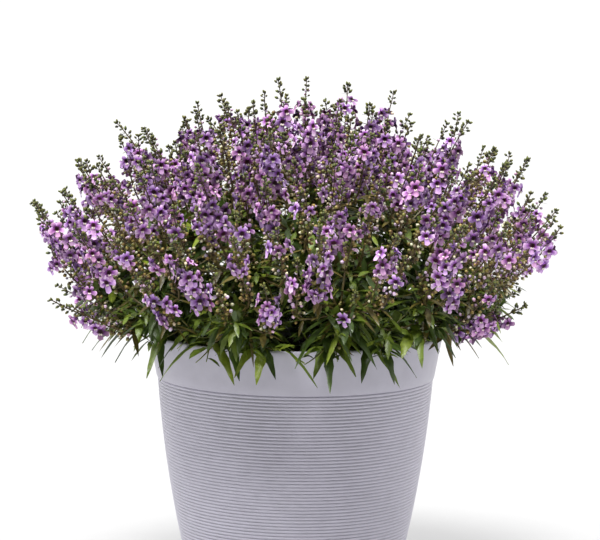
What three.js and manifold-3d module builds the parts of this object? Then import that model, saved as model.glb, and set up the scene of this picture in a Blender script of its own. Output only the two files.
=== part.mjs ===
// A potted angelonia (summer snapdragon): a ribbed planter full of potting mix, leafy stems that stand in
// holes in the mix, and forked sprays of two-lipped florets that make a round dome above the rim.
// Millimetres, +Z up. The origin is the middle of the planter's underside, and the front is towards -Y.

import * as THREE from "three";
import { mergeVertices } from "three/addons/utils/BufferGeometryUtils.js";
import Module from "manifold-3d";

// Planter
const POT_HEIGHT = 250;
const RIM_RADIUS = 144;
const BAND_HEIGHT = 44; // plain band under the lip
const BAND_FOOT_RADIUS = 136.4;
const BODY_TOP_RADIUS = 135; // ribbed body where it meets the band
const BODY_SLOPE = 0.075; // how the body's radius falls, per millimetre down
const BODY_CURVE = 0.00045; // and how that fall grows
const BAND_STEP = 1.5; // height of the small step from body to band
const RIBS = 11; // larger than life
const RIB_RELIEF = 0.9; // crest and groove, out from and in from the body's radius
const WALL = 4.5;
const FLOOR = 6;
const WALL_MIDDLE = 110; // height of the inside's one kink
const LIP_ROUND = 2.5;
const POT_SIDES = 24;
const DRAIN_HOLES = 4;
const DRAIN_HOLE_RADIUS = 6;
const DRAIN_CIRCLE_RADIUS = 58;
const DRAIN_TURN = 0.3; // of the holes about the axis, in radians
const DRAIN_SIDES = 8;

// Potting mix
const MIX_EDGE = 225; // height of the surface at the wall
const MIX_CROWN = 7; // how much higher it is in the middle
const MIX_RING = 0.6; // share of the radius where the surface has its one ring of corners
const GAP = 0.4; // between neighbours that touch
const ROOT_DEPTH = 45; // how deep a stem stands in the mix
const STEM_HALF = 3.2; // half the width of a square stem where it leaves the mix

// The dome: every spike lies on a ray from a point on the axis, this far below the rim
const RAY_DEPTH = 150;
const RAY_ORIGIN = new THREE.Vector3(0, 0, POT_HEIGHT - RAY_DEPTH);
// Tiers of racemes: angle from vertical in radians, racemes in the tier, distance of their tips from the
// ray origin, and the tier's turn about the axis in radians
const TIERS = [
  { lean: 0.11, racemes: 4, reach: 392, turn: 0.55 },
  { lean: 0.28, racemes: 10, reach: 392, turn: 0.1 },
  { lean: 0.445, racemes: 14, reach: 391, turn: 0.3 },
  { lean: 0.61, racemes: 20, reach: 388, turn: 0.05 },
  { lean: 0.78, racemes: 24, reach: 375, turn: 0.2 },
];
const REACH_JITTER = 12;
const LEAN_JITTER = 0.014;
const FORK_CLOSENESS = 0.93; // racemes of one fork stand this much nearer than an even ring
// The lowest racemes lie outwards over the rim, all round but for the front
const LOW_RACEMES = 12;
const LOW_FRONT_GAP = 1.5; // radians left free at the front
const LOW_FOOT = { out: 178, up: 11 }; // first floret: from the axis, and above the rim
const LOW_LOPSIDED = 8; // they stand this much further out on the left, and less on the right
const LOW_RISE = 0.36; // radians above level
const LOW_JITTER = { azimuth: 0.03, up: 3, rise: 0.05 };
const LOW_FORK = { halfAngle: 0.11, drop: 19, up: 10 };

// A raceme
const FLORET_PAIRS = 3;
const FLORET_STEP = 21;
const BUD_LENGTH = 25;
const LOW_FLORET_PAIRS = 2;
const FLORET_REACH = 14; // from throat to lobe tip, on the lowest pair
const FLORET_LIFT = 12.5; // lobe tips out from the axis of the raceme
const THROAT_LIFT = 5; // bottom of the throat out from the stalk's face
const FLORET_SHRINK = 0.91; // each pair against the pair below it
const FLORET_TILT = 0.3; // radians towards the tip of the raceme
const LOBES = [
  { angle: -90, reach: 1.1 },
  { angle: -18, reach: 1 },
  { angle: 54, reach: 0.9 },
  { angle: 126, reach: 0.9 },
  { angle: 198, reach: 1 },
];
const RACHIS_HALF = 1.5;
const BUD_HALF = 4.2;
const BUD_WIDEST = 0.36; // share of its length
const RACEME_TURN = 0.4; // most that its pairs are turned about it, in radians
const FORK_DROP = 34; // from the first floret back to the fork
const FORK_STALK = 9;
const FORK_HALF = 1.9;

// Stems: one in the middle and two rings
const STEM_RINGS = [
  { lean: 0, count: 1, turn: 0, root: 0, out: 0, up: 28 },
  { lean: 0.37, count: 4, turn: 0.5, root: 44, out: 66, up: 24 },
  { lean: 0.75, count: 8, turn: 0.35, root: 88, out: 131, up: 16 },
];
const STEM_PULL = 0.45; // how far a stem keeps its first heading, as a share of its length
const STEM_LEAVES = 0.45; // where a stem carries a pair of leaves, as a share of its curve
const STEM_TAPER = { low: 0.75, top: 0.7 }; // width at its joints against its foot
const BRANCH_HALF = 1.9;
const BRANCH_PULL = 0.4;
const BRANCH_JOINTS = [0.45, 0.8]; // where a branch carries leaves, the second only on a long one
const LONG_BRANCH = 52;
const JOINT_LENGTH = 4; // swollen joint that carries leaves or branches
const JOINT_SWELL = 1.12;
// Leafy shoots without flowers, which lean out over the rim between the lowest racemes
const FRONT_SHOOTS = 4;
const FRONT_SHOOT_STEP = 0.34; // radians between those at the front
const SHOOT_END = { out: 168, up: 7 };
const SHOOT_DROOP = 0.1; // radians below level at its end
const SHOOT_JOINTS = [0.4, 0.68, 0.92];
const LOW_JOINT = 0.74; // where a stem carries them, as a share of its curve

// Leaves
const LEAF_LENGTH = [36, 52];
const LEAF_WIDTH_SHARE = [0.88, 1.12];
const LEAF_HALF_WIDTH = 5.2;
const LEAF_THICKNESS = 1;
const LEAF_ROLL = 0.12; // how far a blade may lean to one side, in radians
const LEAF_OUTLINE = [
  { at: 0.32, width: 0.95 },
  { at: 0.68, width: 0.74 },
];
// How a leaf leaves its joint: its lean ahead along the stalk, its rise and its sag, as shares
const SKIRT = { ahead: 0.75, rise: 0.25, sag: 0.95 }; // on what hangs over the rim
const INNER = { ahead: 0.4, rise: 0.45, sag: 0.4 };
const SKIRT_UP = 60; // branches that end this little above the rim belong to the skirt
const SAG_JITTER = 0.08;
const STEEP = 0.3; // a stalk whose level part is less than this counts as upright
const LEAST_DIP = -0.1; // a leaf from the underside of a stalk turns ahead instead of straight down
// A leaf that would touch something is tried again, a little shorter and turned further each time
const LEAF_TRIES = 10;
const TRY_AGAIN = { shorter: 0.04, turn: 0.05, sag: 0.05 };
const CLEAR = 0.7; // least space between leaves and all else
const RIM_CLEAR = { beside: 4, above: 3 }; // and from the planter's rim and the mix
const LEAF_BALL = 2.5; // radius of the balls that stand for a blade
const LEAF_FOOT = 0.35; // share of a leaf that may lie near its own stem
const JOINT_REACH = 8; // what lies this near to a leaf's foot may touch it there
// Radii of the balls that stand for the rest of the plant
const STEM_BALL = 1.2 * STEM_HALF;
const BRANCH_BALL = 1.3 * BRANCH_HALF;
const RACEME_BALLS = { florets: 17, buds: 9, budsFrom: 0.7 };
const ARM_BALL = 4;
const BALLS_ALONG = { stem: 10, branch: 9, arm: 6, raceme: 8 };
// Where they stand on a blade: on its midrib, and on both edges until near the tip
const BLADE_BALLS = { from: 0.2, step: 0.1, edgesUntil: 0.95 };
const BLADE_BELLY = { width: 0.8, foot: 0.2, rate: 0.75 };

const SEED = 31;
const TIE = 1e-6; // squared distances that differ by less count as equal
const WELD = 1e-4; // corners of a turned body that lie nearer than this are one

const UP = new THREE.Vector3(0, 0, 1);

// A seeded draw between 0 and 1.
function seededDraw(seed) {
  const multiplier = 1664525;
  const increment = 1013904223;
  let state = seed >>> 0;
  return () => {
    state = (Math.imul(state, multiplier) + increment) >>> 0;
    return state / 2 ** 32;
  };
}

const draw = seededDraw(SEED);
const spread = (amount) => (2 * draw() - 1) * amount;
const mix = (a, b, share) => a + (b - a) * share;

function ray(lean, azimuth) {
  return new THREE.Vector3(
    Math.sin(lean) * Math.cos(azimuth),
    Math.sin(lean) * Math.sin(azimuth),
    Math.cos(lean),
  );
}

function along(start, direction, distance) {
  return start.clone().addScaledVector(direction, distance);
}

function atAzimuth(out, azimuth, height) {
  return new THREE.Vector3(
    out * Math.cos(azimuth),
    out * Math.sin(azimuth),
    height,
  );
}

// Part of a vector that is square to a direction, at unit length.
function squareTo(vector, direction) {
  return vector
    .clone()
    .addScaledVector(direction, -vector.dot(direction))
    .normalize();
}

const racemeLength = (pairs) => pairs * FLORET_STEP + BUD_LENGTH;

// The plan of the dome, in racemes, forks and stems

function planRacemesInTier(tier) {
  const forks = tier.racemes / 2;
  const step = (2 * Math.PI) / tier.racemes;
  const pairs = [];
  for (let fork = 0; fork < forks; fork++) {
    const middle = tier.turn + 2 * fork * step;
    pairs.push(
      [-1, 1].map((side) => {
        const azimuth =
          middle +
          side * 0.5 * step * FORK_CLOSENESS +
          spread(LEAN_JITTER) / Math.sin(tier.lean);
        const direction = ray(tier.lean + spread(LEAN_JITTER), azimuth);
        const reach = tier.reach + spread(REACH_JITTER);
        const length = racemeLength(FLORET_PAIRS);
        const foot = along(RAY_ORIGIN, direction, reach - length);
        return { foot, direction, pairs: FLORET_PAIRS };
      }),
    );
  }
  return pairs;
}

const LEVEL = Math.PI / 2; // a lean from vertical
const FRONT = -Math.PI / 2;
const LOW_FORKS = LOW_RACEMES / 2;
const LOW_STEP = (2 * Math.PI - LOW_FRONT_GAP) / LOW_FORKS;

// Azimuth of a place in the row of lowest forks, which begins and ends beside the front.
function lowAzimuth(place) {
  return FRONT + LOW_FRONT_GAP / 2 + LOW_STEP * place;
}

function planLowRacemes() {
  const pairs = [];
  for (let fork = 0; fork < LOW_FORKS; fork++) {
    const middle = lowAzimuth(fork + 0.5) + spread(LOW_JITTER.azimuth);
    pairs.push(
      [-1, 1].map((side) => {
        const azimuth = middle + side * LOW_FORK.halfAngle;
        const out = LOW_FOOT.out - LOW_LOPSIDED * Math.cos(azimuth);
        const up = LOW_FOOT.up + spread(LOW_JITTER.up);
        const foot = atAzimuth(out, azimuth, POT_HEIGHT + up);
        const rise = LOW_RISE - spread(LOW_JITTER.rise);
        const direction = ray(LEVEL - rise, azimuth);
        return { foot, direction, pairs: LOW_FLORET_PAIRS };
      }),
    );
  }
  return pairs;
}

function planForks() {
  const high = TIERS.flatMap(planRacemesInTier);
  return high.concat(planLowRacemes()).map((racemes, i) => {
    const heading = racemes[0].direction
      .clone()
      .add(racemes[1].direction)
      .normalize();
    const middle = racemes[0].foot.clone().add(racemes[1].foot).divideScalar(2);
    const low = i >= high.length;
    const foot = along(middle, heading, low ? -LOW_FORK.drop : -FORK_DROP);
    if (low) foot.z = POT_HEIGHT + LOW_FORK.up;
    return { racemes, heading, foot };
  });
}

function planLeafyShoots() {
  const azimuths = [];
  for (let place = 0; place < FRONT_SHOOTS; place++)
    azimuths.push(FRONT + (place - (FRONT_SHOOTS - 1) / 2) * FRONT_SHOOT_STEP);
  for (let place = 1; place < LOW_FORKS; place++)
    azimuths.push(lowAzimuth(place));
  return azimuths.map((azimuth) => ({
    foot: atAzimuth(SHOOT_END.out, azimuth, POT_HEIGHT + SHOOT_END.up),
    heading: ray(LEVEL + SHOOT_DROOP, azimuth),
  }));
}

function planStems(forks, leafyShoots) {
  const stems = STEM_RINGS.flatMap((ring) =>
    Array.from({ length: ring.count }, (_, i) => {
      const azimuth = ring.turn + (2 * Math.PI * i) / ring.count;
      const direction = ray(ring.lean, azimuth);
      const root = atAzimuth(ring.root, azimuth, MIX_EDGE - ROOT_DEPTH);
      return {
        azimuth,
        direction,
        root,
        top: atAzimuth(ring.out, azimuth, POT_HEIGHT + ring.up),
        forks: [],
        leafyShoots: [],
      };
    }),
  );
  const nearest = (place) => {
    const sight = place.clone().sub(RAY_ORIGIN).normalize();
    return stems.reduce((best, stem) =>
      stem.direction.dot(sight) > best.direction.dot(sight) ? stem : best,
    );
  };
  forks.forEach((fork) => nearest(fork.foot).forks.push(fork));
  leafyShoots.forEach((shoot) =>
    nearest(shoot.foot).leafyShoots.push(shoot),
  );
  return stems;
}

// A curve that leaves one point in one direction and reaches another in another.
function bend(start, startDirection, end, endDirection, pull = BRANCH_PULL) {
  const reach = start.distanceTo(end) * pull;
  return new THREE.CubicBezierCurve3(
    start,
    along(start, startDirection, reach),
    along(end, endDirection, -reach),
    end,
  );
}

// Four corners round a station, anticlockwise for one who looks back along its direction.
function squareRing({ centre, direction, half }, side) {
  const other = direction.clone().cross(side);
  const corners = [
    [-1, -1],
    [1, -1],
    [1, 1],
    [-1, 1],
  ];
  return corners.map(([a, b]) =>
    centre
      .clone()
      .addScaledVector(side, a * half)
      .addScaledVector(other, b * half),
  );
}

// A body that grows: square rings joined by side faces. A side face can carry a branch, leaf or floret,
// which then starts at the face's own four corners, so that all of it is one closed skin.
class Growth {
  constructor() {
    this.points = [];
    this.faces = [];
  }

  point(position) {
    this.points.push(position.clone());
    return this.points.length - 1;
  }

  face(a, b, c) {
    this.faces.push(a, b, c);
  }

  middle(loop) {
    const sum = new THREE.Vector3();
    loop.forEach((index) => sum.add(this.points[index]));
    return sum.divideScalar(loop.length);
  }

  // How far a loop's numbering is turned to lay its corners nearest to those of the loop below.
  shiftTo(below, corners) {
    const shifts = corners.map((_, shift) => shift);
    const distance = (shift) =>
      below.reduce((sum, index, i) => {
        const corner = corners[(i + shift) % corners.length];
        return sum + corner.distanceToSquared(this.points[index]);
      }, 0);
    return shifts.reduce((best, shift) =>
      distance(shift) < distance(best) - TIE ? shift : best,
    );
  }

  addLoop(corners, shift) {
    return corners.map((_, i) =>
      this.point(corners[(i + shift) % corners.length]),
    );
  }

  // Joins two loops of four. A face that carries something is left to it.
  join(below, above, carried = {}) {
    for (let side = 0; side < 4; side++) {
      const next = (side + 1) % 4;
      const quad = [below[side], below[next], above[next], above[side]];
      if (carried[side]) {
        carried[side](quad);
        continue;
      }
      this.face(quad[0], quad[1], quad[2]);
      this.face(quad[0], quad[2], quad[3]);
    }
  }

  capEnd(loop) {
    this.face(loop[0], loop[1], loop[2]);
    this.face(loop[0], loop[2], loop[3]);
  }

  capStart(loop) {
    this.face(loop[0], loop[2], loop[1]);
    this.face(loop[0], loop[3], loop[2]);
  }

  point4(loop, tip) {
    const top = this.point(tip);
    for (let side = 0; side < 4; side++)
      this.face(loop[side], loop[(side + 1) % 4], top);
  }

  // Grows a stalk through its stations, each with a centre, direction, half width and what the faces
  // above it carry. Returns the last loop.
  stalk(start, side, stations) {
    let below = start;
    let carried = {};
    let sideways = side;
    let shift = 0;
    stations.forEach((station, i) => {
      sideways = squareTo(sideways, station.direction);
      if (station.turn)
        sideways.applyAxisAngle(station.direction, station.turn);
      const corners = squareRing(station, sideways);
      if (below && i === 0) shift = this.shiftTo(below, corners);
      const loop = this.addLoop(corners, shift);
      if (below) this.join(below, loop, carried);
      below = loop;
      carried = station.carry || {};
    });
    return below;
  }

  geometry() {
    const geometry = new THREE.BufferGeometry();
    const flat = this.points.flatMap((p) => [p.x, p.y, p.z]);
    geometry.setAttribute(
      "position",
      new THREE.Float32BufferAttribute(flat, 3),
    );
    geometry.setIndex(this.faces);
    geometry.computeVertexNormals();
    return geometry;
  }
}

// A two-lipped floret on a side face of a rachis: five lobe tips round a throat that is sunk in.
function growFloret(body, quad, direction, size) {
  const corners = quad.map((index) => body.points[index]);
  const middle = body.middle(quad);
  const across = squareTo(corners[1].clone().sub(corners[0]), direction);
  const outward = across.clone().cross(direction);
  const facing = outward.clone().applyAxisAngle(across, -FLORET_TILT);
  const upward = facing.clone().cross(across);
  const rim = LOBES.map((lobe) => {
    const angle = THREE.MathUtils.degToRad(lobe.angle);
    const reach = FLORET_REACH * size * lobe.reach;
    return body.point(
      middle
        .clone()
        .addScaledVector(facing, (FLORET_LIFT - RACHIS_HALF) * size)
        .addScaledVector(across, Math.cos(angle) * reach)
        .addScaledVector(upward, Math.sin(angle) * reach),
    );
  });
  const throat = body.point(along(middle, facing, THROAT_LIFT * size));
  const [a, b, c, d] = quad;
  const [low, right, highRight, highLeft, left] = rim;
  body.face(a, b, low);
  body.face(b, right, low);
  body.face(b, c, right);
  body.face(c, highRight, right);
  body.face(c, d, highRight);
  body.face(d, highLeft, highRight);
  body.face(d, left, highLeft);
  body.face(d, a, left);
  body.face(a, low, left);
  rim.forEach((index, i) =>
    body.face(index, rim[(i + 1) % rim.length], throat),
  );
}

// The flowering part of a raceme: pairs of florets set crosswise, then a pointed bunch of buds.
function growRaceme(body, start, side, raceme, turn) {
  const { foot, direction, pairs } = raceme;
  const stations = [];
  for (let pair = 0; pair <= pairs; pair++) {
    const size = FLORET_SHRINK ** pair;
    const carry = {};
    if (pair < pairs)
      for (const face of pair % 2 ? [1, 3] : [0, 2])
        carry[face] = (quad) => growFloret(body, quad, direction, size);
    stations.push({
      centre: along(foot, direction, pair * FLORET_STEP),
      direction,
      half: RACHIS_HALF,
      turn: pair ? 0 : turn,
      carry,
    });
  }
  const budFoot = pairs * FLORET_STEP;
  stations.push({
    centre: along(foot, direction, budFoot + BUD_WIDEST * BUD_LENGTH),
    direction,
    half: BUD_HALF,
  });
  const last = body.stalk(start, side, stations);
  body.point4(last, along(foot, direction, racemeLength(pairs)));
}

// One forked spray of two racemes.
function growSpray(fork) {
  const body = new Growth();
  const [first, second] = fork.racemes;
  const apart = squareTo(second.foot.clone().sub(first.foot), fork.heading);
  const base = along(fork.foot, fork.heading, GAP);
  const top = along(fork.foot, fork.heading, FORK_STALK);
  const turns = [spread(RACEME_TURN), spread(RACEME_TURN)];
  const growSecond = (quad) => growRaceme(body, quad, apart, second, turns[1]);
  const lower = body.stalk(null, apart, [
    {
      centre: base,
      direction: fork.heading,
      half: FORK_HALF,
      carry: { 1: growSecond },
    },
    { centre: top, direction: fork.heading, half: FORK_HALF },
  ]);
  body.capStart([0, 1, 2, 3]);
  growRaceme(body, lower, apart, first, turns[0]);
  return body;
}

// Leaves: narrow blades that arch over under their own weight

function leafFrame(leaf, at) {
  const step = 0.02;
  const place = (share) =>
    along(leaf.start, leaf.heading, leaf.length * share).addScaledVector(
      UP,
      -leaf.sag * leaf.length * share * share,
    );
  const centre = place(at);
  const direction = place(at + step)
    .sub(place(at - step))
    .normalize();
  const across = UP.clone()
    .cross(leaf.heading)
    .normalize()
    .multiplyScalar(Math.cos(leaf.roll))
    .addScaledVector(UP, Math.sin(leaf.roll));
  const normal = direction.cross(across).normalize();
  return { centre, across, normal };
}

// Four corners of the blade where it is so wide: the lower face, then the upper one.
function leafCorners(leaf, at, width) {
  const { centre, across, normal } = leafFrame(leaf, at);
  const half = LEAF_HALF_WIDTH * leaf.width * width;
  const corner = (side, face) =>
    along(centre, across, side * half).addScaledVector(
      normal,
      (face * LEAF_THICKNESS) / 2,
    );
  return [corner(-1, -1), corner(1, -1), corner(1, 1), corner(-1, 1)];
}

function growLeaf(body, quad, leaf) {
  let below = quad;
  let shift = null;
  for (const row of LEAF_OUTLINE) {
    const corners = leafCorners(leaf, row.at, row.width);
    shift ??= body.shiftTo(below, corners);
    const loop = body.addLoop(corners, shift);
    body.join(below, loop);
    below = loop;
  }
  body.point4(below, leafFrame(leaf, 1).centre);
}

// What a leaf must stay clear of: balls along every stem, branch, raceme and leaf, and the planter's rim

const balls = [];

function addBall(centre, radius, owner) {
  balls.push({ centre, radius, owner });
}

// Balls along the midrib and both edges, from near the foot to the tip.
function leafBalls(leaf) {
  const places = [];
  const { from, step, edgesUntil } = BLADE_BALLS;
  for (let at = from; at < 1 + step / 2; at += step) {
    const share = Math.min(1, BLADE_BELLY.foot + BLADE_BELLY.rate * at);
    const width = BLADE_BELLY.width * Math.sin(Math.PI * share);
    const [left, right] = leafCorners(leaf, at, width);
    places.push({ centre: leafFrame(leaf, at).centre, at });
    if (at < edgesUntil)
      places.push({ centre: left, at }, { centre: right, at });
  }
  return places;
}

function isClear(leaf, owner) {
  return leafBalls(leaf).every(({ centre, at }) => {
    const out = Math.hypot(centre.x, centre.y);
    const inside = out <= RIM_RADIUS - WALL - RIM_CLEAR.beside;
    const overWall = !inside && out < RIM_RADIUS + RIM_CLEAR.beside;
    if (overWall && centre.z < POT_HEIGHT + RIM_CLEAR.above) return false;
    const mixTop = MIX_EDGE + MIX_CROWN;
    if (inside && centre.z < mixTop + RIM_CLEAR.above) return false;
    return balls.every((ball) => {
      const near = ball.owner === owner && at < LEAF_FOOT;
      if (near && ball.centre.distanceTo(leaf.start) < JOINT_REACH) return true;
      const least = ball.radius + LEAF_BALL + CLEAR;
      return ball.centre.distanceToSquared(centre) > least * least;
    });
  });
}

// Tries a few headings for a leaf that grows from a face of a joint, and keeps the first that is clear.
function planLeaf(start, outward, forward, habit, owner) {
  const ahead = new THREE.Vector3(forward.x, forward.y, 0);
  if (ahead.length() < STEEP) ahead.set(start.x, start.y, 0);
  ahead.normalize();
  const level = outward.clone().setZ(Math.max(outward.z, LEAST_DIP));
  const fullLength = mix(...LEAF_LENGTH, draw());
  const width = mix(...LEAF_WIDTH_SHARE, draw());
  for (let attempt = 0; attempt < LEAF_TRIES; attempt++) {
    const heading = level
      .clone()
      .addScaledVector(ahead, habit.ahead)
      .addScaledVector(UP, habit.rise)
      .normalize()
      .applyAxisAngle(UP, spread(TRY_AGAIN.turn * attempt));
    const length = fullLength * (1 - TRY_AGAIN.shorter * attempt);
    const sag = habit.sag + spread(SAG_JITTER + TRY_AGAIN.sag * attempt);
    const roll = spread(LEAF_ROLL);
    const leaf = { start, heading, length, width, sag, roll };
    if (isClear(leaf, owner)) {
      leafBalls(leaf).forEach(({ centre }) => addBall(centre, LEAF_BALL, owner));
      return leaf;
    }
  }
  return null;
}

// A joint on a stalk: two stations, and the leaves or branches that its faces carry.
function jointStations(course, at, half, carry) {
  const shift = JOINT_LENGTH / 2 / course.getLength();
  return [-1, 1].map((side) => ({
    centre: course.getPointAt(at + side * shift),
    direction: course.getTangentAt(at + side * shift),
    half: half * JOINT_SWELL,
    carry: side < 0 ? carry : undefined,
  }));
}

function plainStation(course, at, half) {
  return {
    centre: course.getPointAt(at),
    direction: course.getTangentAt(at),
    half,
  };
}

function leafCarrier(body, habit, owner) {
  return (quad) => {
    const corners = quad.map((index) => body.points[index]);
    const forward = corners[3].clone().sub(corners[0]).normalize();
    const outward = corners[1].clone().sub(corners[0]).cross(forward);
    const leaf = planLeaf(
      body.middle(quad),
      outward.normalize(),
      forward,
      habit,
      owner,
    );
    if (leaf) growLeaf(body, quad, leaf);
    else body.capEnd(quad);
  };
}

function branchCourse(stem, fork) {
  const outward = fork.foot.clone().sub(stem.top).normalize();
  return bend(stem.top, outward, fork.foot, fork.heading);
}

function stemCourse(stem) {
  const soilTop = new THREE.Vector3(
    stem.root.x,
    stem.root.y,
    MIX_EDGE + MIX_CROWN,
  );
  return bend(soilTop, UP, stem.top, stem.direction, STEM_PULL);
}

function markObstacles(stems, forks) {
  stems.forEach((stem, owner) => {
    for (const point of stemCourse(stem).getSpacedPoints(BALLS_ALONG.stem))
      addBall(point, STEM_BALL, owner);
    for (const branch of [...stem.forks, ...stem.leafyShoots])
      branchCourse(stem, branch)
        .getSpacedPoints(BALLS_ALONG.branch)
        .forEach((point) => addBall(point, BRANCH_BALL, owner));
  });
  forks.forEach((fork) => {
    for (const raceme of fork.racemes) {
      const length = racemeLength(raceme.pairs);
      const { florets, buds, budsFrom } = RACEME_BALLS;
      for (let share = 0; share <= 1; share += 1 / BALLS_ALONG.raceme) {
        const centre = along(raceme.foot, raceme.direction, share * length);
        addBall(centre, share < budsFrom ? florets : buds, "raceme");
      }
      const arm = bend(
        fork.foot,
        fork.heading,
        raceme.foot,
        raceme.direction,
      ).getSpacedPoints(BALLS_ALONG.arm);
      arm.forEach((point) => addBall(point, ARM_BALL, "raceme"));
    }
  });
}

// Two stations of a joint whose named faces carry leaves.
function leafyJoint(body, course, at, faces, habit, owner) {
  const carry = Object.fromEntries(
    faces.map((face) => [face, leafCarrier(body, habit, owner)]),
  );
  return jointStations(course, at, BRANCH_HALF, carry);
}

function sideOf(direction) {
  return squareTo(UP.clone().cross(direction), direction);
}

// A branch from a face of its stem's last joint, or from the stem's end, to the foot of its spray.
function growBranch(body, quad, fork, owner) {
  const start = body.middle(quad);
  const habit = fork.foot.z < POT_HEIGHT + SKIRT_UP ? SKIRT : INNER;
  const outward = fork.foot.clone().sub(start).normalize();
  const course = bend(start, outward, fork.foot, fork.heading);
  const leafy = (at, faces) =>
    leafyJoint(body, course, at, faces, habit, owner);
  const [firstJoint, secondJoint] = BRANCH_JOINTS;
  const stations = [
    ...leafy(firstJoint, [1, 3]),
    ...(course.getLength() > LONG_BRANCH ? leafy(secondJoint, [0, 2]) : []),
    plainStation(course, 1, BRANCH_HALF),
  ];
  body.capEnd(body.stalk(quad, sideOf(outward), stations));
}

// A shoot that carries pairs of leaves and ends in a leaf of its own.
function growLeafyShoot(body, quad, shoot, owner) {
  const start = body.middle(quad);
  const outward = shoot.foot.clone().sub(start).normalize();
  const course = bend(start, outward, shoot.foot, shoot.heading);
  const stations = SHOOT_JOINTS.flatMap((at, i) =>
    leafyJoint(body, course, at, i % 2 ? [0, 2] : [1, 3], SKIRT, owner),
  );
  const end = body.stalk(quad, sideOf(outward), stations);
  leafCarrier(body, SKIRT, owner)(end);
}

// Gives each branch its own face of a joint, the best matched branch first. Face 4 is the stem's end.
function shareFaces(branches, joint, side, faces) {
  const sideways = squareTo(side, joint.direction);
  const other = joint.direction.clone().cross(sideways);
  const looks = [
    other.clone().negate(),
    sideways,
    other,
    sideways.clone().negate(),
    joint.direction,
  ];
  const taken = new Map();
  const waiting = new Set(branches);
  while (waiting.size) {
    let best = { match: -Infinity };
    for (const branch of waiting)
      for (const face of faces.filter((one) => !taken.has(one))) {
        const towards = branch.foot.clone().sub(joint.centre).normalize();
        const match = looks[face].dot(towards);
        if (match > best.match) best = { match, branch, face };
      }
    taken.set(best.face, best.branch);
    waiting.delete(best.branch);
  }
  return taken;
}

function growLeafyStem(stem, owner) {
  const body = new Growth();
  const course = stemCourse(stem);
  const side = atAzimuth(1, stem.azimuth + Math.PI / 2, 0);
  const carriers = (at, branches, faces, grow) => {
    const joint = plainStation(course, at, 0);
    const shared = shareFaces(branches, joint, side, faces);
    return Object.fromEntries(
      [...shared].map(([face, branch]) => [
        face,
        (quad) => grow(body, quad, branch, owner),
      ]),
    );
  };
  const topAt = 1 - (0.5 * JOINT_LENGTH) / course.getLength();
  const { 4: growEnd, ...topCarry } = carriers(
    topAt,
    stem.forks,
    [0, 1, 2, 3, 4],
    growBranch,
  );
  const lowCarry = carriers(
    LOW_JOINT,
    stem.leafyShoots,
    [0, 1, 2, 3],
    growLeafyShoot,
  );
  const stations = [
    { centre: stem.root, direction: UP, half: STEM_HALF },
    plainStation(course, 0, STEM_HALF),
    ...leafyJoint(body, course, STEM_LEAVES, [1, 3], INNER, owner),
    ...(stem.leafyShoots.length
      ? jointStations(course, LOW_JOINT, STEM_HALF * STEM_TAPER.low, lowCarry)
      : []),
    ...jointStations(course, topAt, STEM_HALF * STEM_TAPER.top, topCarry),
  ];
  const last = body.stalk(null, side, stations);
  body.capStart([0, 1, 2, 3]);
  if (growEnd) growEnd(last);
  else body.capEnd(last);
  return body;
}

// Planter and potting mix

const wasm = await Module();
wasm.setup();

function solid(geometry) {
  const bare = geometry.clone();
  bare.deleteAttribute("normal");
  bare.deleteAttribute("uv");
  const merged = mergeVertices(bare, WELD);
  const corners = [];
  const index = merged.index.array;
  for (let i = 0; i < index.length; i += 3) {
    const [a, b, c] = index.slice(i, i + 3);
    if (a !== b && b !== c && c !== a) corners.push(a, b, c);
  }
  return new wasm.Manifold(
    new wasm.Mesh({
      numProp: 3,
      vertProperties: merged.attributes.position.array,
      triVerts: new Uint32Array(corners),
    }),
  );
}

function geometryOf(body) {
  const { numProp, vertProperties, triVerts } = body.getMesh();
  const positions = new Float32Array((vertProperties.length / numProp) * 3);
  for (let i = 0; i < positions.length / 3; i++)
    positions.set(
      vertProperties.subarray(i * numProp, i * numProp + 3),
      3 * i,
    );
  const geometry = new THREE.BufferGeometry();
  geometry.setAttribute("position", new THREE.BufferAttribute(positions, 3));
  geometry.setIndex(new THREE.BufferAttribute(triVerts, 1));
  geometry.computeVertexNormals();
  return geometry;
}

// Turns a profile of [radius, height] points round the Z axis.
function turned(profile) {
  const points = profile.map(([radius, z]) => new THREE.Vector2(radius, z));
  return new THREE.LatheGeometry(points, POT_SIDES).rotateX(Math.PI / 2);
}

const bandFoot = POT_HEIGHT - BAND_HEIGHT;

function bodyRadius(z) {
  const drop = bandFoot - z;
  return BODY_TOP_RADIUS - BODY_SLOPE * drop - BODY_CURVE * drop * drop;
}

function innerRadius(z) {
  if (z <= bandFoot) return bodyRadius(z) - WALL;
  const share = (z - bandFoot) / BAND_HEIGHT;
  return mix(BODY_TOP_RADIUS, RIM_RADIUS, share) - WALL;
}

const WALL_HEIGHTS = [FLOOR, WALL_MIDDLE, bandFoot];

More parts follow.
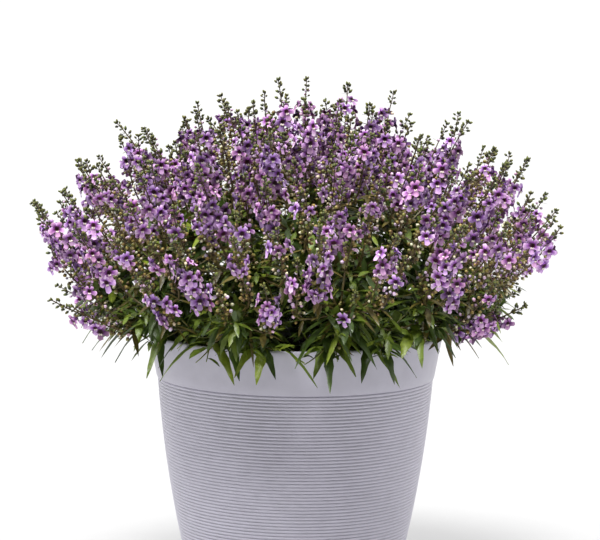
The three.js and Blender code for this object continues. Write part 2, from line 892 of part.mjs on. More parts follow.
function planter() {
  const ribPitch = bandFoot / RIBS;
  const outside = [[0, 0]];
  for (let rib = 0; rib < RIBS; rib++) {
    const foot = rib * ribPitch;
    outside.push([bodyRadius(foot) - RIB_RELIEF, foot]);
    const crest = foot + ribPitch / 2;
    outside.push([bodyRadius(crest) + RIB_RELIEF, crest]);
  }
  outside.push([BODY_TOP_RADIUS - RIB_RELIEF, bandFoot]);
  outside.push([BAND_FOOT_RADIUS, bandFoot + BAND_STEP]);
  outside.push([RIM_RADIUS, POT_HEIGHT - LIP_ROUND]);
  outside.push([RIM_RADIUS - LIP_ROUND / 2, POT_HEIGHT]);
  const inside = [
    [innerRadius(POT_HEIGHT), POT_HEIGHT],
    [innerRadius(MIX_EDGE), MIX_EDGE],
    ...WALL_HEIGHTS.toReversed().map((z) => [innerRadius(z), z]),
    [0, FLOOR],
  ];
  let body = solid(turned(outside.concat(inside)));
  for (let hole = 0; hole < DRAIN_HOLES; hole++) {
    const azimuth = (2 * Math.PI * hole) / DRAIN_HOLES + DRAIN_TURN;
    const at = atAzimuth(DRAIN_CIRCLE_RADIUS, azimuth, FLOOR / 2);
    const drain = new THREE.CylinderGeometry(
      DRAIN_HOLE_RADIUS,
      DRAIN_HOLE_RADIUS,
      4 * FLOOR,
      DRAIN_SIDES,
    )
      .rotateX(Math.PI / 2)
      .translate(at.x, at.y, at.z);
    body = body.subtract(solid(drain));
  }
  return body;
}

function pottingMix(stems) {
  const side = [...WALL_HEIGHTS, MIX_EDGE].map((z, i) => [
    innerRadius(z) - GAP,
    i ? z : z + GAP,
  ]);
  const crown = [MIX_RING, 0].map((share) => [
    share * innerRadius(MIX_EDGE),
    MIX_EDGE + MIX_CROWN * (1 - share * share),
  ]);
  let body = solid(turned([[0, FLOOR + GAP], ...side, ...crown]));
  const depth = ROOT_DEPTH + 4 * MIX_CROWN; // from the stem's foot to well above the surface
  const width = 2 * (STEM_HALF + GAP);
  for (const stem of stems) {
    const hole = new THREE.BoxGeometry(width, width, depth)
      .rotateZ(stem.azimuth)
      .translate(stem.root.x, stem.root.y, stem.root.z + depth / 2 - GAP);
    body = body.subtract(solid(hole));
  }
  return body;
}

// The assembly

const materials = {
  planter: { color: 0xb3b2c1, roughness: 0.55, metalness: 0 },
  mix: { color: 0x2d241d, roughness: 0.98, metalness: 0 },
  leaf: { color: 0x4f7a34, roughness: 0.6, metalness: 0 },
  floret: { color: 0x9a6cc4, roughness: 0.65, metalness: 0 },
};

function piece(name, geometry, look) {
  const material = new THREE.MeshStandardMaterial({
    ...materials[look],
    flatShading: true,
  });
  const mesh = new THREE.Mesh(geometry, material);
  mesh.name = name;
  return mesh;
}

const forks = planForks();
const stems = planStems(forks, planLeafyShoots());
markObstacles(stems, forks);

const plant = new THREE.Group();
plant.add(piece("planter", geometryOf(planter()), "planter"));
plant.add(piece("potting_mix", geometryOf(pottingMix(stems)), "mix"));
const numbered = (word, i) => `${word}_${String(i + 1).padStart(2, "0")}`;
stems.forEach((stem, i) =>
  plant.add(
    piece(numbered("leafy_stem", i), growLeafyStem(stem, i).geometry(), "leaf"),
  ),
);
forks.forEach((fork, i) =>
  plant.add(
    piece(numbered("flower_spray", i), growSpray(fork).geometry(), "floret"),
  ),
);

export default plant;
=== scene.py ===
"""A potted angelonia: a ribbed planter, potting mix, leafy stems and forked sprays of florets.

The plan of the dome is the one that placed the solids, drawn again with the same seed. Lengths are
in millimetres until a piece is made. The frame is the solids' own: +Z up, the front towards -Y.
"""

import math

import bmesh
import bpy
import numpy as np
from mathutils import Matrix, Vector, noise


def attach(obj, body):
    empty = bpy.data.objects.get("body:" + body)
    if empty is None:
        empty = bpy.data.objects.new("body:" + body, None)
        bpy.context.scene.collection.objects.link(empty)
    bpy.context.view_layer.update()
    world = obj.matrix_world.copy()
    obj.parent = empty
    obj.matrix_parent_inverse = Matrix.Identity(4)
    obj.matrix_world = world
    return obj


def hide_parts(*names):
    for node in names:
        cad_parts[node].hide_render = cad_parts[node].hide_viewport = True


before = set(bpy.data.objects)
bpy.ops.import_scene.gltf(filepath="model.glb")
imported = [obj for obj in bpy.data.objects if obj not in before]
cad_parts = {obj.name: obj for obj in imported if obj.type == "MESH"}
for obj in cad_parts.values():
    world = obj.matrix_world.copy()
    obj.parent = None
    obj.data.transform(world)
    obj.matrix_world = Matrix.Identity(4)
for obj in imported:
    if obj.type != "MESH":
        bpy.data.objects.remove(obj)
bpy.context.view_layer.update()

MM = 0.001
UP = np.array([0.0, 0.0, 1.0])
FRONT = -math.pi / 2
LEVEL = math.pi / 2
TURN = 2 * math.pi

# The photograph: its width in pixels, and the camera that was fitted to it
PHOTO_WIDTH = 600
FOCAL_PIXELS = 2813.84
PRINCIPAL_LEFT = 3.48  # pixels that the lens axis stands left of the frame's middle
CAMERA_PLACE = (0.0, -2.73777, 0.6237)
CAMERA_PITCH = 0.114
CAMERA_ROLL = 0.011
SENSOR = 36.0
SIGHT = 50.0  # metres

# Planter
POT_HEIGHT = 250.0
RIM_RADIUS = 144.0
BAND_HEIGHT = 44.0
BAND_FOOT = POT_HEIGHT - BAND_HEIGHT
BAND_FOOT_RADIUS = 136.4
BODY_TOP_RADIUS = 135.0
BODY_SLOPE = 0.075
BODY_CURVE = 0.00045
RIB_PITCH = 3.27
RIB_DEPTH = 1.3
WALL = 4.5
FLOOR = 6.0
POT_SIDES = 96
DRAIN_HOLES = 4
DRAIN_RADIUS = 6.0
DRAIN_CIRCLE = 58.0
DRAIN_TURN = 0.3
DRAIN_SIDES = 24

# Potting mix
MIX_EDGE = 225.0
MIX_CROWN = 7.0
MIX_CHIPS = 900
ROOT_DEPTH = 45.0

# The plan of the dome
RAY_ORIGIN = np.array([0.0, 0.0, POT_HEIGHT - 150.0])
TIERS = [  # lean, racemes, reach, turn
    (0.11, 4, 392, 0.55),
    (0.28, 10, 392, 0.1),
    (0.445, 14, 391, 0.3),
    (0.61, 20, 388, 0.05),
    (0.78, 24, 375, 0.2),
]
REACH_JITTER = 12
LEAN_JITTER = 0.014
FORK_CLOSENESS = 0.93
LOW_RACEMES = 12
LOW_FRONT_GAP = 1.5
LOW_FOOT = {"out": 178, "up": 11}
LOW_LOPSIDED = 8
LOW_RISE = 0.36
LOW_JITTER = {"azimuth": 0.03, "up": 3, "rise": 0.05}
LOW_FORK = {"half_angle": 0.11, "drop": 19, "up": 10}
FLORET_PAIRS = 3
LOW_FLORET_PAIRS = 2
FLORET_STEP = 21
BUD_LENGTH = 25
FORK_DROP = 34
STEM_RINGS = [  # lean, stems, turn, how far out their roots and tops stand, and the tops' rise
    (0, 1, 0, 0, 0, 28),
    (0.37, 4, 0.5, 44, 66, 24),
    (0.75, 8, 0.35, 88, 131, 16),
]
STEM_RADIUS = 3.0
BRANCH_RADIUS = 1.7
FRONT_SHOOTS = 4
FRONT_SHOOT_STEP = 0.34
SHOOT_END = {"out": 168, "up": 7}
SHOOT_DROOP = 0.1
PLAN_SEED = 31

# Side racemes, which fill the dome between the planned ones
SIDE_TRIES = 1600
SIDE_LEAN = 0.83
SIDE_APART = 0.078
SIDE_FROM_MAIN = 0.064
SIDE_REACH = 388.0  # from the ray origin to their tips, at most
FLATTER_FROM = 0.7  # lean past which the dome is flatter
FLATTER = 340.0  # how much of the reach is lost there, a radian
SIDE_SET_BACK = (4.0, 34.0)
SIDE_LENGTH = (60.0, 82.0)
FORK_AHEAD = 12.0  # the nearest fork is looked for this far ahead of the forks' feet
SIDE_SPENT = 0.88  # share of them that have shed most of their flowers
SIDE_BLOOM = 1.5  # how much more of them flower where the plant blooms well
PATCH = 60.0  # across a part of the plant that flowers more, or less, than the rest
PATCH_START = (3.3, 1.7, 5.2)
SIDE_SEED = 5

DETAIL_SEED = 11
rng = np.random.default_rng(DETAIL_SEED)


def srgb(red, green, blue):
    """A colour written as the eye reads it, 0 to 255, as linear light."""
    def linear(value):
        share = value / 255
        return share / 12.92 if share <= 0.04045 else ((share + 0.055) / 1.055) ** 2.4
    return np.array([linear(red), linear(green), linear(blue)])


def unit(vector):
    return vector / np.linalg.norm(vector)


def square_to(vector, direction):
    return unit(vector - np.dot(vector, direction) * direction)


def at_azimuth(out, azimuth, height):
    return np.array([out * math.cos(azimuth), out * math.sin(azimuth), height])


def ray(lean, azimuth):
    return at_azimuth(math.sin(lean), azimuth, math.cos(lean))


def between(low, high):
    return low + (high - low) * rng.random()


def jitter(amount):
    return amount * (2 * rng.random() - 1)


def any_turn():
    return between(0, TURN)


# The plan of the dome, drawn as the solids were


def plan_draws(state):
    """The seeded draws that placed the solids, each from -1 to 1."""
    while True:
        state = (state * 1664525 + 1013904223) % 2**32
        yield 2 * state / 2**32 - 1


plan = plan_draws(PLAN_SEED)


def spread(amount):
    return next(plan) * amount


def raceme_length(pairs):
    return pairs * FLORET_STEP + BUD_LENGTH


def plan_tier(lean, count, reach, turn):
    step = TURN / count
    forks = []
    for fork in range(count // 2):
        middle = turn + 2 * fork * step
        racemes = []
        for side in (-1, 1):
            azimuth = middle + side * 0.5 * step * FORK_CLOSENESS
            azimuth += spread(LEAN_JITTER) / math.sin(lean)
            direction = ray(lean + spread(LEAN_JITTER), azimuth)
            length = raceme_length(FLORET_PAIRS)
            foot = RAY_ORIGIN + direction * (reach + spread(REACH_JITTER) - length)
            racemes.append({"foot": foot, "direction": direction, "length": length})
        forks.append(racemes)
    return forks


LOW_FORKS = LOW_RACEMES // 2
LOW_STEP = (TURN - LOW_FRONT_GAP) / LOW_FORKS


def low_azimuth(place):
    return FRONT + LOW_FRONT_GAP / 2 + LOW_STEP * place


def plan_low():
    forks = []
    for fork in range(LOW_FORKS):
        middle = low_azimuth(fork + 0.5) + spread(LOW_JITTER["azimuth"])
        racemes = []
        for side in (-1, 1):
            azimuth = middle + side * LOW_FORK["half_angle"]
            out = LOW_FOOT["out"] - LOW_LOPSIDED * math.cos(azimuth)
            height = POT_HEIGHT + LOW_FOOT["up"] + spread(LOW_JITTER["up"])
            foot = at_azimuth(out, azimuth, height)
            rise = LOW_RISE - spread(LOW_JITTER["rise"])
            direction = ray(LEVEL - rise, azimuth)
            length = raceme_length(LOW_FLORET_PAIRS)
            racemes.append({"foot": foot, "direction": direction, "length": length})
        forks.append(racemes)
    return forks


def plan_forks():
    high = [racemes for tier in TIERS for racemes in plan_tier(*tier)]
    forks = []
    for i, racemes in enumerate(high + plan_low()):
        low = i >= len(high)
        heading = unit(racemes[0]["direction"] + racemes[1]["direction"])
        middle = (racemes[0]["foot"] + racemes[1]["foot"]) / 2
        foot = middle - heading * (LOW_FORK["drop"] if low else FORK_DROP)
        if low:
            foot[2] = POT_HEIGHT + LOW_FORK["up"]
        fork = {"foot": foot, "heading": heading, "low": low, "racemes": racemes, "sides": []}
        forks.append(fork)
    return forks


def plan_shoots():
    places = [place - (FRONT_SHOOTS - 1) / 2 for place in range(FRONT_SHOOTS)]
    azimuths = [FRONT + place * FRONT_SHOOT_STEP for place in places]
    azimuths += [low_azimuth(place) for place in range(1, LOW_FORKS)]
    return [
        {
            "foot": at_azimuth(SHOOT_END["out"], azimuth, POT_HEIGHT + SHOOT_END["up"]),
            "heading": ray(LEVEL + SHOOT_DROOP, azimuth),
        }
        for azimuth in azimuths
    ]


def plan_stems(forks, shoots):
    stems = []
    for lean, count, turn, root, out, up in STEM_RINGS:
        for i in range(count):
            azimuth = turn + TURN * i / count
            stems.append({
                "azimuth": azimuth,
                "direction": ray(lean, azimuth),
                "root": at_azimuth(root, azimuth, MIX_EDGE - ROOT_DEPTH),
                "top": at_azimuth(out, azimuth, POT_HEIGHT + up),
                "forks": [],
                "shoots": [],
            })

    def nearest(place):
        sight = unit(place - RAY_ORIGIN)
        return max(stems, key=lambda stem: np.dot(stem["direction"], sight))

    for fork in forks:
        nearest(fork["foot"])["forks"].append(fork)
    for shoot in shoots:
        nearest(shoot["foot"])["shoots"].append(shoot)
    return stems


def side_reach(lean):
    """How far from the ray origin a side raceme's tip may come. The dome is flatter low down."""
    return SIDE_REACH - max(0, lean - FLATTER_FROM) * FLATTER


def bloom(place):
    """How well the plant flowers at a place, most often from -0.4 to 0.4."""
    return noise.noise(Vector(place) / PATCH + Vector(PATCH_START))


def plan_side_racemes(forks):
    """Shorter racemes between the planned ones, each carried by the fork that is nearest."""
    draws = np.random.default_rng(SIDE_SEED)
    racemes = [raceme for fork in forks for raceme in fork["racemes"]]
    mains = [unit(r["foot"] + r["direction"] * r["length"] - RAY_ORIGIN) for r in racemes]
    ahead = [fork["foot"] + FORK_AHEAD * fork["heading"] for fork in forks]
    taken = []
    for _ in range(SIDE_TRIES):
        lean = math.acos(1 - draws.random() * (1 - math.cos(SIDE_LEAN)))
        azimuth = draws.random() * TURN
        direction = ray(lean, azimuth)
        if any(np.dot(direction, other) > math.cos(SIDE_FROM_MAIN) for other in mains):
            continue
        if any(np.dot(direction, other) > math.cos(SIDE_APART) for other in taken):
            continue
        taken.append(direction)
        near, far = SIDE_SET_BACK
        short, long = SIDE_LENGTH
        reach = side_reach(lean) - near - (far - near) * draws.random()
        length = short + (long - short) * draws.random()
        foot = RAY_ORIGIN + direction * (reach - length)
        nearest = np.argmin([np.linalg.norm(point - foot) for point in ahead])
        raceme = {"foot": foot, "direction": direction, "length": length}
        raceme["spent"] = draws.random() < SIDE_SPENT - SIDE_BLOOM * bloom(foot)
        forks[nearest]["sides"].append(raceme)


def bezier(start, start_direction, end, end_direction, count, pull=0.4):
    reach = np.linalg.norm(end - start) * pull
    a, b, c, d = start, start + start_direction * reach, end - end_direction * reach, end
    t = np.linspace(0, 1, count)[:, None]
    return (1 - t) ** 3 * a + 3 * (1 - t) ** 2 * t * b + 3 * (1 - t) * t**2 * c + t**3 * d


def path_point(path, share):
    place_on = min(max(share, 0), 1) * (len(path) - 1)
    low = min(int(place_on), len(path) - 2)
    return path[low] + (path[low + 1] - path[low]) * (place_on - low)


def path_direction(path, share):
    return unit(path_point(path, share + 0.05) - path_point(path, share - 0.05))


# Gathering and making pieces


def add_object(name, data):
    thing = bpy.data.objects.new(name, data)
    bpy.context.scene.collection.objects.link(thing)
    return thing


class Bundle:
    """Points, triangles and colours of one piece, gathered before it is made."""

    def __init__(self):
        self.points = []
        self.triangles = []
        self.colours = []
        self.total = 0

    def add(self, points, triangles, colours):
        points = np.asarray(points, float)
        self.points.append(points)
        self.triangles.append(np.asarray(triangles, int) + self.total)
        self.colours.append(np.broadcast_to(np.asarray(colours, float), points.shape))
        self.total += len(points)

    def make(self, name, material, nodes):
        points = np.concatenate(self.points) * MM
        triangles = np.concatenate(self.triangles)
        mesh = bpy.data.meshes.new(name)
        mesh.from_pydata(points.tolist(), [], triangles.tolist(), shade_flat=False)
        tint = mesh.color_attributes.new("tint", "FLOAT_COLOR", "POINT")
        colours = np.concatenate([np.concatenate(self.colours), np.ones((len(points), 1))], axis=1)
        tint.data.foreach_set("color", colours.astype(np.float32).ravel())
        mesh.validate()
        mesh.materials.append(material)
        piece = add_object(name, mesh)
        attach(piece, "root")
        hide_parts(*nodes)


def circle(centre, radius, height, sides):
    x, y = centre[:2]
    angles = TURN * np.arange(sides) / sides
    return [(x + radius * math.cos(a), y + radius * math.sin(a), height) for a in angles]


def lathe_points(profile, sides):
    return [point for radius, height in profile for point in circle((0, 0), radius, height, sides)]


def grid_triangles(rows, columns, closed=False):
    """Triangles of a grid of points, row by row. A closed grid is joined round its rows."""
    triangles = []
    for row in range(rows - 1):
        for column in range(columns if closed else columns - 1):
            a = row * columns + column
            b = row * columns + (column + 1) % columns
            triangles += [(a, b, b + columns), (a, b + columns, a + columns)]
    return np.array(triangles)


def tube(bundle, path, radii, sides, colours, side):
    """A stalk along a path, closed at both ends."""
    path = np.asarray(path, float)
    radii = np.broadcast_to(np.asarray(radii, float), len(path))
    tangents = np.gradient(path, axis=0)
    tangents /= np.linalg.norm(tangents, axis=1)[:, None]
    across = side - (tangents @ side)[:, None] * tangents
    across /= np.linalg.norm(across, axis=1)[:, None]
    other = np.cross(tangents, across)
    angles = TURN * np.arange(sides) / sides
    rings = (
        path[:, None]
        + radii[:, None, None] * np.cos(angles)[None, :, None] * across[:, None]
        + radii[:, None, None] * np.sin(angles)[None, :, None] * other[:, None]
    )
    last = (len(path) - 1) * sides
    caps = [(0, i + 1, i) for i in range(1, sides - 1)]
    caps += [(last, last + i, last + i + 1) for i in range(1, sides - 1)]
    triangles = np.concatenate([grid_triangles(len(path), sides, closed=True), caps])
    colours = np.asarray(colours, float)
    if colours.ndim == 2:
        shares = np.linspace(0, 1, len(path))[:, None]
        colours = np.repeat(colours[0] * (1 - shares) + colours[1] * shares, sides, axis=0)
    bundle.add(rings.reshape(-1, 3), triangles, colours)


def curve_side(direction):
    """A direction that is square to a stalk."""
    return square_to(UP if abs(direction[2]) < 0.8 else np.array([1.0, 0.0, 0.0]), direction)


def around(direction, turn):
    """A direction square to a stalk, at a turn about it."""
    side = curve_side(direction)
    return math.cos(turn) * side + math.sin(turn) * np.cross(direction, side)


def splayed(direction, turn, forward):
    """A direction that leaves a stalk at a turn about it and leans forward along it."""
    return unit(around(direction, turn) + forward * direction)


# Small parts, each with its foot at the origin: x across, y up, z the way that it faces

DARK_THROAT = srgb(58, 20, 26)
THROAT_RIM = srgb(92, 36, 74)
PETAL = srgb(132, 62, 154)
# the pale of the lower lip, and the rims' pale colour, which is partly their own and partly painted
# highlight
PETAL_PALE_AND_HIGHLIGHT = srgb(236, 192, 240)
TOOTH = srgb(252, 240, 226)
TUBE = srgb(120, 74, 142)
CALYX = srgb(106, 98, 48)
CALYX_BROWN = srgb(96, 66, 48)
BUD_WHITE = srgb(236, 214, 230)
BUD_PINK = srgb(206, 160, 210)
BUD_GREEN = srgb(104, 106, 42)
# painted shade at a green bud's foot; its top takes BUD_GREEN, lighter as if lit
BUD_PAINTED_SHADE = srgb(46, 50, 26)
CAPSULE = srgb(148, 132, 66)
BUD_CREAM = srgb(238, 222, 192)
STALK = srgb(104, 92, 48)
STALK_TOP = srgb(84, 66, 46)
LEAF_TOP = srgb(94, 112, 34)
LEAF_DEEP = srgb(60, 80, 26)
LEAF_YOUNG = srgb(120, 136, 40)
LEAF_OLIVE = srgb(106, 96, 42)

# A floret is drawn with a radius of 1, which FLORET_RADIUS then scales
FLORET_RADIUS = 8.7
LOBES = [(-90, 1.12), (-18, 1.02), (54, 0.86), (126, 0.86), (198, 1.02)]  # angle and reach
LOBE_SHAPE = [(-36, 0.42), (-19, 0.92), (0, 1.0), (19, 0.92)]  # turn from its middle, and reach
LOBE_PAINTED_LIGHT = (0.72, 0.6)  # painted light and shade of a lobe, as if turned to or from the light: the least, and how much more at most
LOBE_SIZE = 0.14  # how much larger or smaller a lobe may be
LOBE_BEND = 0.26  # how far forward or back it may bend
LOBE_RIDGE = 0.07  # how far its middle stands forward, and its sides back
THROAT_SHARE = 0.26
THROAT_DEPTH = 0.45
BLADE_SHARE = 0.47  # where the ring between throat and edge stands, as a share of the edge
NOTCH_SHARE = 0.62  # the least edge that this ring follows
PALE_LIP = 0.5  # how far the middle of the lower lip is faded to the colour of the edges
FLORET_DEPTH = 0.78  # from the foot of its calyx to the throat
PEDICEL_END = 0.76
FLORET_KINDS = 12
FLORET_SEED = 3
SEPAL = [(0.06, 0.09, -FLORET_DEPTH), (0.3, 0.12, -0.58), (0.46, 0, -0.24)]  # out, half width, up


def floret_part(draws):
    """A two-lipped corolla of unit radius, with a dark throat."""
    corners = []
    for angle, reach in LOBES:
        # each lobe is painted lighter or darker, as if it were turned to or from the light
        lobe_painted_light = LOBE_PAINTED_LIGHT[0] + LOBE_PAINTED_LIGHT[1] * draws.random()
        size = reach * (1 + LOBE_SIZE * (2 * draws.random() - 1))
        bend = LOBE_BEND * (2 * draws.random() - 1)
        for turn, share in LOBE_SHAPE:
            lift = bend + (LOBE_RIDGE if turn == 0 else -LOBE_RIDGE)
            at = math.radians(angle + turn)
            corners.append((at, size * share, lift, share > 0.9, lobe_painted_light))
    angles, edge, lift, pale_and_highlight, shade = np.array(corners, float).T
    pale_and_highlight, shade = pale_and_highlight[:, None], shade[:, None]
    lower = np.clip(-np.sin(angles), 0, 1)
    upper = np.clip(np.sin(angles), 0, 1)
    throat = THROAT_RIM * 0.35 + DARK_THROAT * 0.65
    lip = PALE_LIP * lower[:, None] ** 2
    blade = (PETAL * (1 - lip) + PETAL_PALE_AND_HIGHLIGHT * lip) * shade
    # rims are pale at the lobes' tips, partly their own colour and partly painted highlight, and
    # darker in the notches between lobes, painted shade
    rims = (PETAL * 0.7 * (1 - pale_and_highlight) + PETAL_PALE_AND_HIGHLIGHT * pale_and_highlight) * shade
    rings = [
        (np.full(len(angles), THROAT_SHARE), 0 * lower, np.broadcast_to(throat, rims.shape)),
        (BLADE_SHARE * np.maximum(edge, NOTCH_SHARE), 0.08 * lower + 0.03 + 0.3 * lift, blade),
        (edge, 0.24 * lower - 0.24 * upper + lift, rims),
    ]
    points = [np.array([[0.0, 0.0, -THROAT_DEPTH]])]
    colours = [DARK_THROAT[None]]
    for radius, height, tint in rings:
        points.append(np.stack([np.cos(angles) * radius, np.sin(angles) * radius, height], axis=1))
        colours.append(tint)
    count = len(angles)
    fan = [(0, 1 + i, 1 + (i + 1) % count) for i in range(count)]
    petals = grid_triangles(len(rings), count, closed=True)[:, ::-1] + 1
    return np.concatenate(points), np.concatenate([fan, petals]), np.concatenate(colours)


def tooth_part():
    """The two pale bumps at the foot of the lower lip."""
    corners = np.array([[1, 0, 0], [0, 1, 0], [-1, 0, 0], [0, -1, 0], [0, 0, 1]])
    bump = [(0, 1, 4), (1, 2, 4), (2, 3, 4), (3, 0, 4)]
    half = np.array([0.14, 0.15, 0.18])
    points = np.concatenate([corners * half + [x, -0.35, 0.05] for x in (-0.1, 0.1)])
    triangles = np.concatenate([bump, np.array(bump) + len(corners)])
    return points, triangles, np.broadcast_to(TOOTH, points.shape)


def tube_part():
    """The back of the corolla, from the petals down to the calyx."""
    points = np.array(lathe_points([(0.13, -0.72), (0.32, -0.48), (0.37, -0.06)], 5))
    return points, grid_triangles(3, 5, closed=True), np.broadcast_to(TUBE, points.shape)


def calyx_part():
    """Five narrow sepals behind a corolla."""
    points = []
    triangles = []
    for i in range(5):
        out = at_azimuth(1, TURN * (i + 0.5) / 5, 0)
        across = np.cross(UP, out)
        foot = len(points)
        for far, width, height in SEPAL[:-1]:
            points += [out * far + across * side + UP * height for side in (-width, width)]
        points.append(out * SEPAL[-1][0] + UP * SEPAL[-1][2])
        triangles += [(foot, foot + 1, foot + 3), (foot, foot + 3, foot + 2)]
        triangles.append((foot + 2, foot + 3, foot + 4))
    return np.array(points), np.array(triangles), np.broadcast_to(CALYX, (len(points), 3))


def turned_part(profile, sides, tints):
    """A small round part from (radius, height) points, pointed at both ends."""
    points = [(0, 0, profile[0][1])] + lathe_points(profile[1:-1], sides) + [(0, 0, profile[-1][1])]
    colours = [tints[0]] + [tint for tint in tints[1:-1] for _ in range(sides)] + [tints[-1]]
    rings = len(profile) - 2
    last = len(points) - 1
    triangles = []
    for i in range(sides):
        after = (i + 1) % sides
        triangles.append((0, 1 + after, 1 + i))
        triangles.append((last, last - sides + i, last - sides + after))
    if rings > 1:
        triangles = np.concatenate([triangles, grid_triangles(rings, sides, closed=True) + 1])
    return np.array(points, float), np.array(triangles), np.array(colours)


def opening_bud_part():
    """A corolla about to open, with its lip folded over."""
    profile = [(0, 0), (0.22, 0.14), (0.38, 0.5), (0.26, 0.85), (0, 1.0)]
    return turned_part(profile, 6, [CALYX, CALYX, BUD_PINK, BUD_WHITE, BUD_PINK])


def bud_part(low, high, foot_tint, top_tint):
    """A closed bud, or a fruit, from its two rings of (radius, height)."""
    return turned_part([(0, 0), low, high, (0, 1.0)], 5, [foot_tint] * 2 + [top_tint] * 2)


floret_draws = np.random.default_rng(FLORET_SEED)
FLORETS = [floret_part(floret_draws) for _ in range(FLORET_KINDS)]
TOOTH_PART = tooth_part()
TUBE_PART = tube_part()
CALYX_PART = calyx_part()
OPENING_BUD = opening_bud_part()
# a green bud with painted light and shade: dark at its foot, lighter at its top
GREEN_BUD = bud_part((0.29, 0.32), (0.23, 0.74), BUD_PAINTED_SHADE, BUD_GREEN)
CREAM_BUD = bud_part((0.36, 0.3), (0.32, 0.7), CALYX, BUD_CREAM)
CAPSULE_PART = bud_part((0.42, 0.28), (0.32, 0.74), CALYX_BROWN, CAPSULE)

# What stands on a stalk, as shares of the draw: where the flowers are over, where one has dropped
# among the others, and just above the open ones
SPENT_PARTS = [(0.5, CAPSULE_PART), (0.14, GREEN_BUD), (0.21, CREAM_BUD), (0.15, OPENING_BUD)]
DROPPED_PARTS = [(0.7, CAPSULE_PART), (0.3, CREAM_BUD)]
BUDDING_PARTS = [(0.6, OPENING_BUD), (0.4, GREEN_BUD)]


def pick_part(choices):
    pick = rng.random()
    for share, part in choices:
        if pick < share:
            return part
        pick -= share
    return choices[-1][1]


def add_copy(bundle, part, centre, axes, size, tint=1.0):
    """Adds a copy of a small part. axes are the directions of its x, y and z."""
    points = part[0] * size @ np.array(axes) + centre
    bundle.add(points, part[1], np.clip(part[2] * tint, 0, 1))


def facing_axes(facing, roll):
    """Axes of a part that faces one way with its top nearly up."""
    across = unit(np.cross(UP, facing))
    upward = np.cross(facing, across)
    cosine, sine = math.cos(roll), math.sin(roll)
    return across * cosine + upward * sine, upward * cosine - across * sine, facing


def pointing_axes(direction):
    side = curve_side(direction)
    return side, np.cross(direction, side), direction


def pedicel(bundle, start, end, radius, colour):
    direction = unit(end - start)
    tube(bundle, [start, end], [radius, radius * 0.8], 3, colour, curve_side(direction))


def petal_tone_and_light():
    """A floret's own tone, with painted light and shade: lighter or darker, and pinker or bluer."""
    shade = between(0.4, 1.3)
    warmth = jitter(0.12)
    return shade * np.array([1 + warmth, 1 - 0.5 * abs(warmth), 1 - 0.6 * warmth])


def add_floret(petals, greens, axis_point, outward, facing, size):
    radius = FLORET_RADIUS * size
    facing = unit(facing)
    foot = axis_point + outward * between(3.0, 5.5) * size
    centre = foot + facing * radius * FLORET_DEPTH
    axes = facing_axes(facing, jitter(0.3))
    tint = petal_tone_and_light()
    add_copy(petals, FLORETS[rng.integers(len(FLORETS))], centre, axes, radius, tint)
    add_copy(petals, TOOTH_PART, centre, axes, radius)
    add_copy(petals, TUBE_PART, centre, axes, radius, tint)
    add_copy(greens, CALYX_PART, centre, axes, radius, between(0.6, 1.2))
    pedicel(greens, axis_point, centre - facing * radius * PEDICEL_END, 0.45, STALK_TOP)


def add_bud(bundle, part, axis_point, direction, stalk, length):
    foot = axis_point + direction * stalk
    ripeness = between(-0.2, 0.12)
    tint = between(0.7, 1.3) * np.array([1 + ripeness, 1.0, 1 - 0.5 * abs(ripeness)])
    add_copy(bundle, part, foot, pointing_axes(direction), length, tint)
    if stalk > 1.5:
        pedicel(bundle, axis_point, foot + direction * 0.3, 0.35, STALK_TOP)


def add_bract(bundle, start, heading, length, half_width, colour):
    """A small blade without teeth: a midrib and two halves."""
    side = unit(np.cross(UP, heading))
    sag = 0.3
    rows = []
    for share, width in ((0, 0.25), (0.4, 1), (1, 0.04)):
        centre = leaf_point(start, heading, length, sag, share)
        for across in (-1, 0, 1):
            fold = UP * abs(across) * 0.2 * half_width
            rows.append(centre + side * across * width * half_width + fold)
    bundle.add(rows, grid_triangles(3, 3), colour)


# Racemes

FLORET_NODE = 8.4  # from one whorl of florets to the next
BUD_NODE = 5.0
CAPSULE_NODE = 4.6
TIP_NODE = 3.8
MISSING = 0.14  # share of the florets that have dropped and left a capsule
FADED = 0.42  # share of the main racemes that have few florets left
MAIN_BLOOM = 3.0  # how many fewer fade where the plant blooms well
BENT = 0.16  # share of the racemes that have a bent tip
UPRIGHT = 0.36  # lean under which a raceme has flowers all round
OUTWARD_WHORLS = [(-85, 0, 90), (-42, 45)]
ROUND_WHORLS = [(0, 120, 240), (60, 180, 300)]
NEXT_OF_THREE = 2.1  # turn from one bud to the next, where three stand round a stalk
RACEME_POINTS = 9  # on its axis
RACEME_RADII = (1.4, 0.55)
LAST_OPEN = (0.68, 0.8)  # where the florets of a raceme end, as a share of its length
LOW_LAST_OPEN = (0.56, 0.68)
SPENT_LAST_OPEN = (0.72, 0.8)
FIRST_OPEN = (-0.2, 0.3)  # where they start
SIDE_FIRST_OPEN = (0.15, 0.5)
FADED_OPEN = (0.12, 0.3)  # how much of the length they take where few are left
SPENT_OPEN = (0, 0.22)
BUDS_OPEN = 0.07  # how much of it the opening buds take
TIP_END = 0.98  # where only the last three buds are left to come


def raceme_path(raceme):
    """The raceme's axis, a little bent, with its tip turned up."""
    foot, direction, length = raceme["foot"], raceme["direction"], raceme["length"]
    sideways = around(direction, any_turn())
    t = np.linspace(0, 1, RACEME_POINTS)[:, None]
    bow = jitter(4.0) * np.sin(math.pi * t) * sideways
    bend = between(9.0, 16.0) if rng.random() < BENT else between(0, 6.0)
    nod = bend * t**3 * around(direction, any_turn())
    lift = square_to(UP, direction) * 4.0 * t**3 if direction[2] < 0.9 else 0
    return foot + direction * length * t + bow + nod + lift


def outward_frame(direction):
    """The level way out of the dome, and two directions square to a raceme: out, and sideways."""
    level = np.array([direction[0], direction[1], 0.0])
    if np.linalg.norm(level) < 0.05:
        turn = jitter(math.pi)
        level = at_azimuth(1, turn, 0)
    level = unit(level)
    face = square_to(level - 0.15 * UP, direction)
    return level, face, np.cross(direction, face)


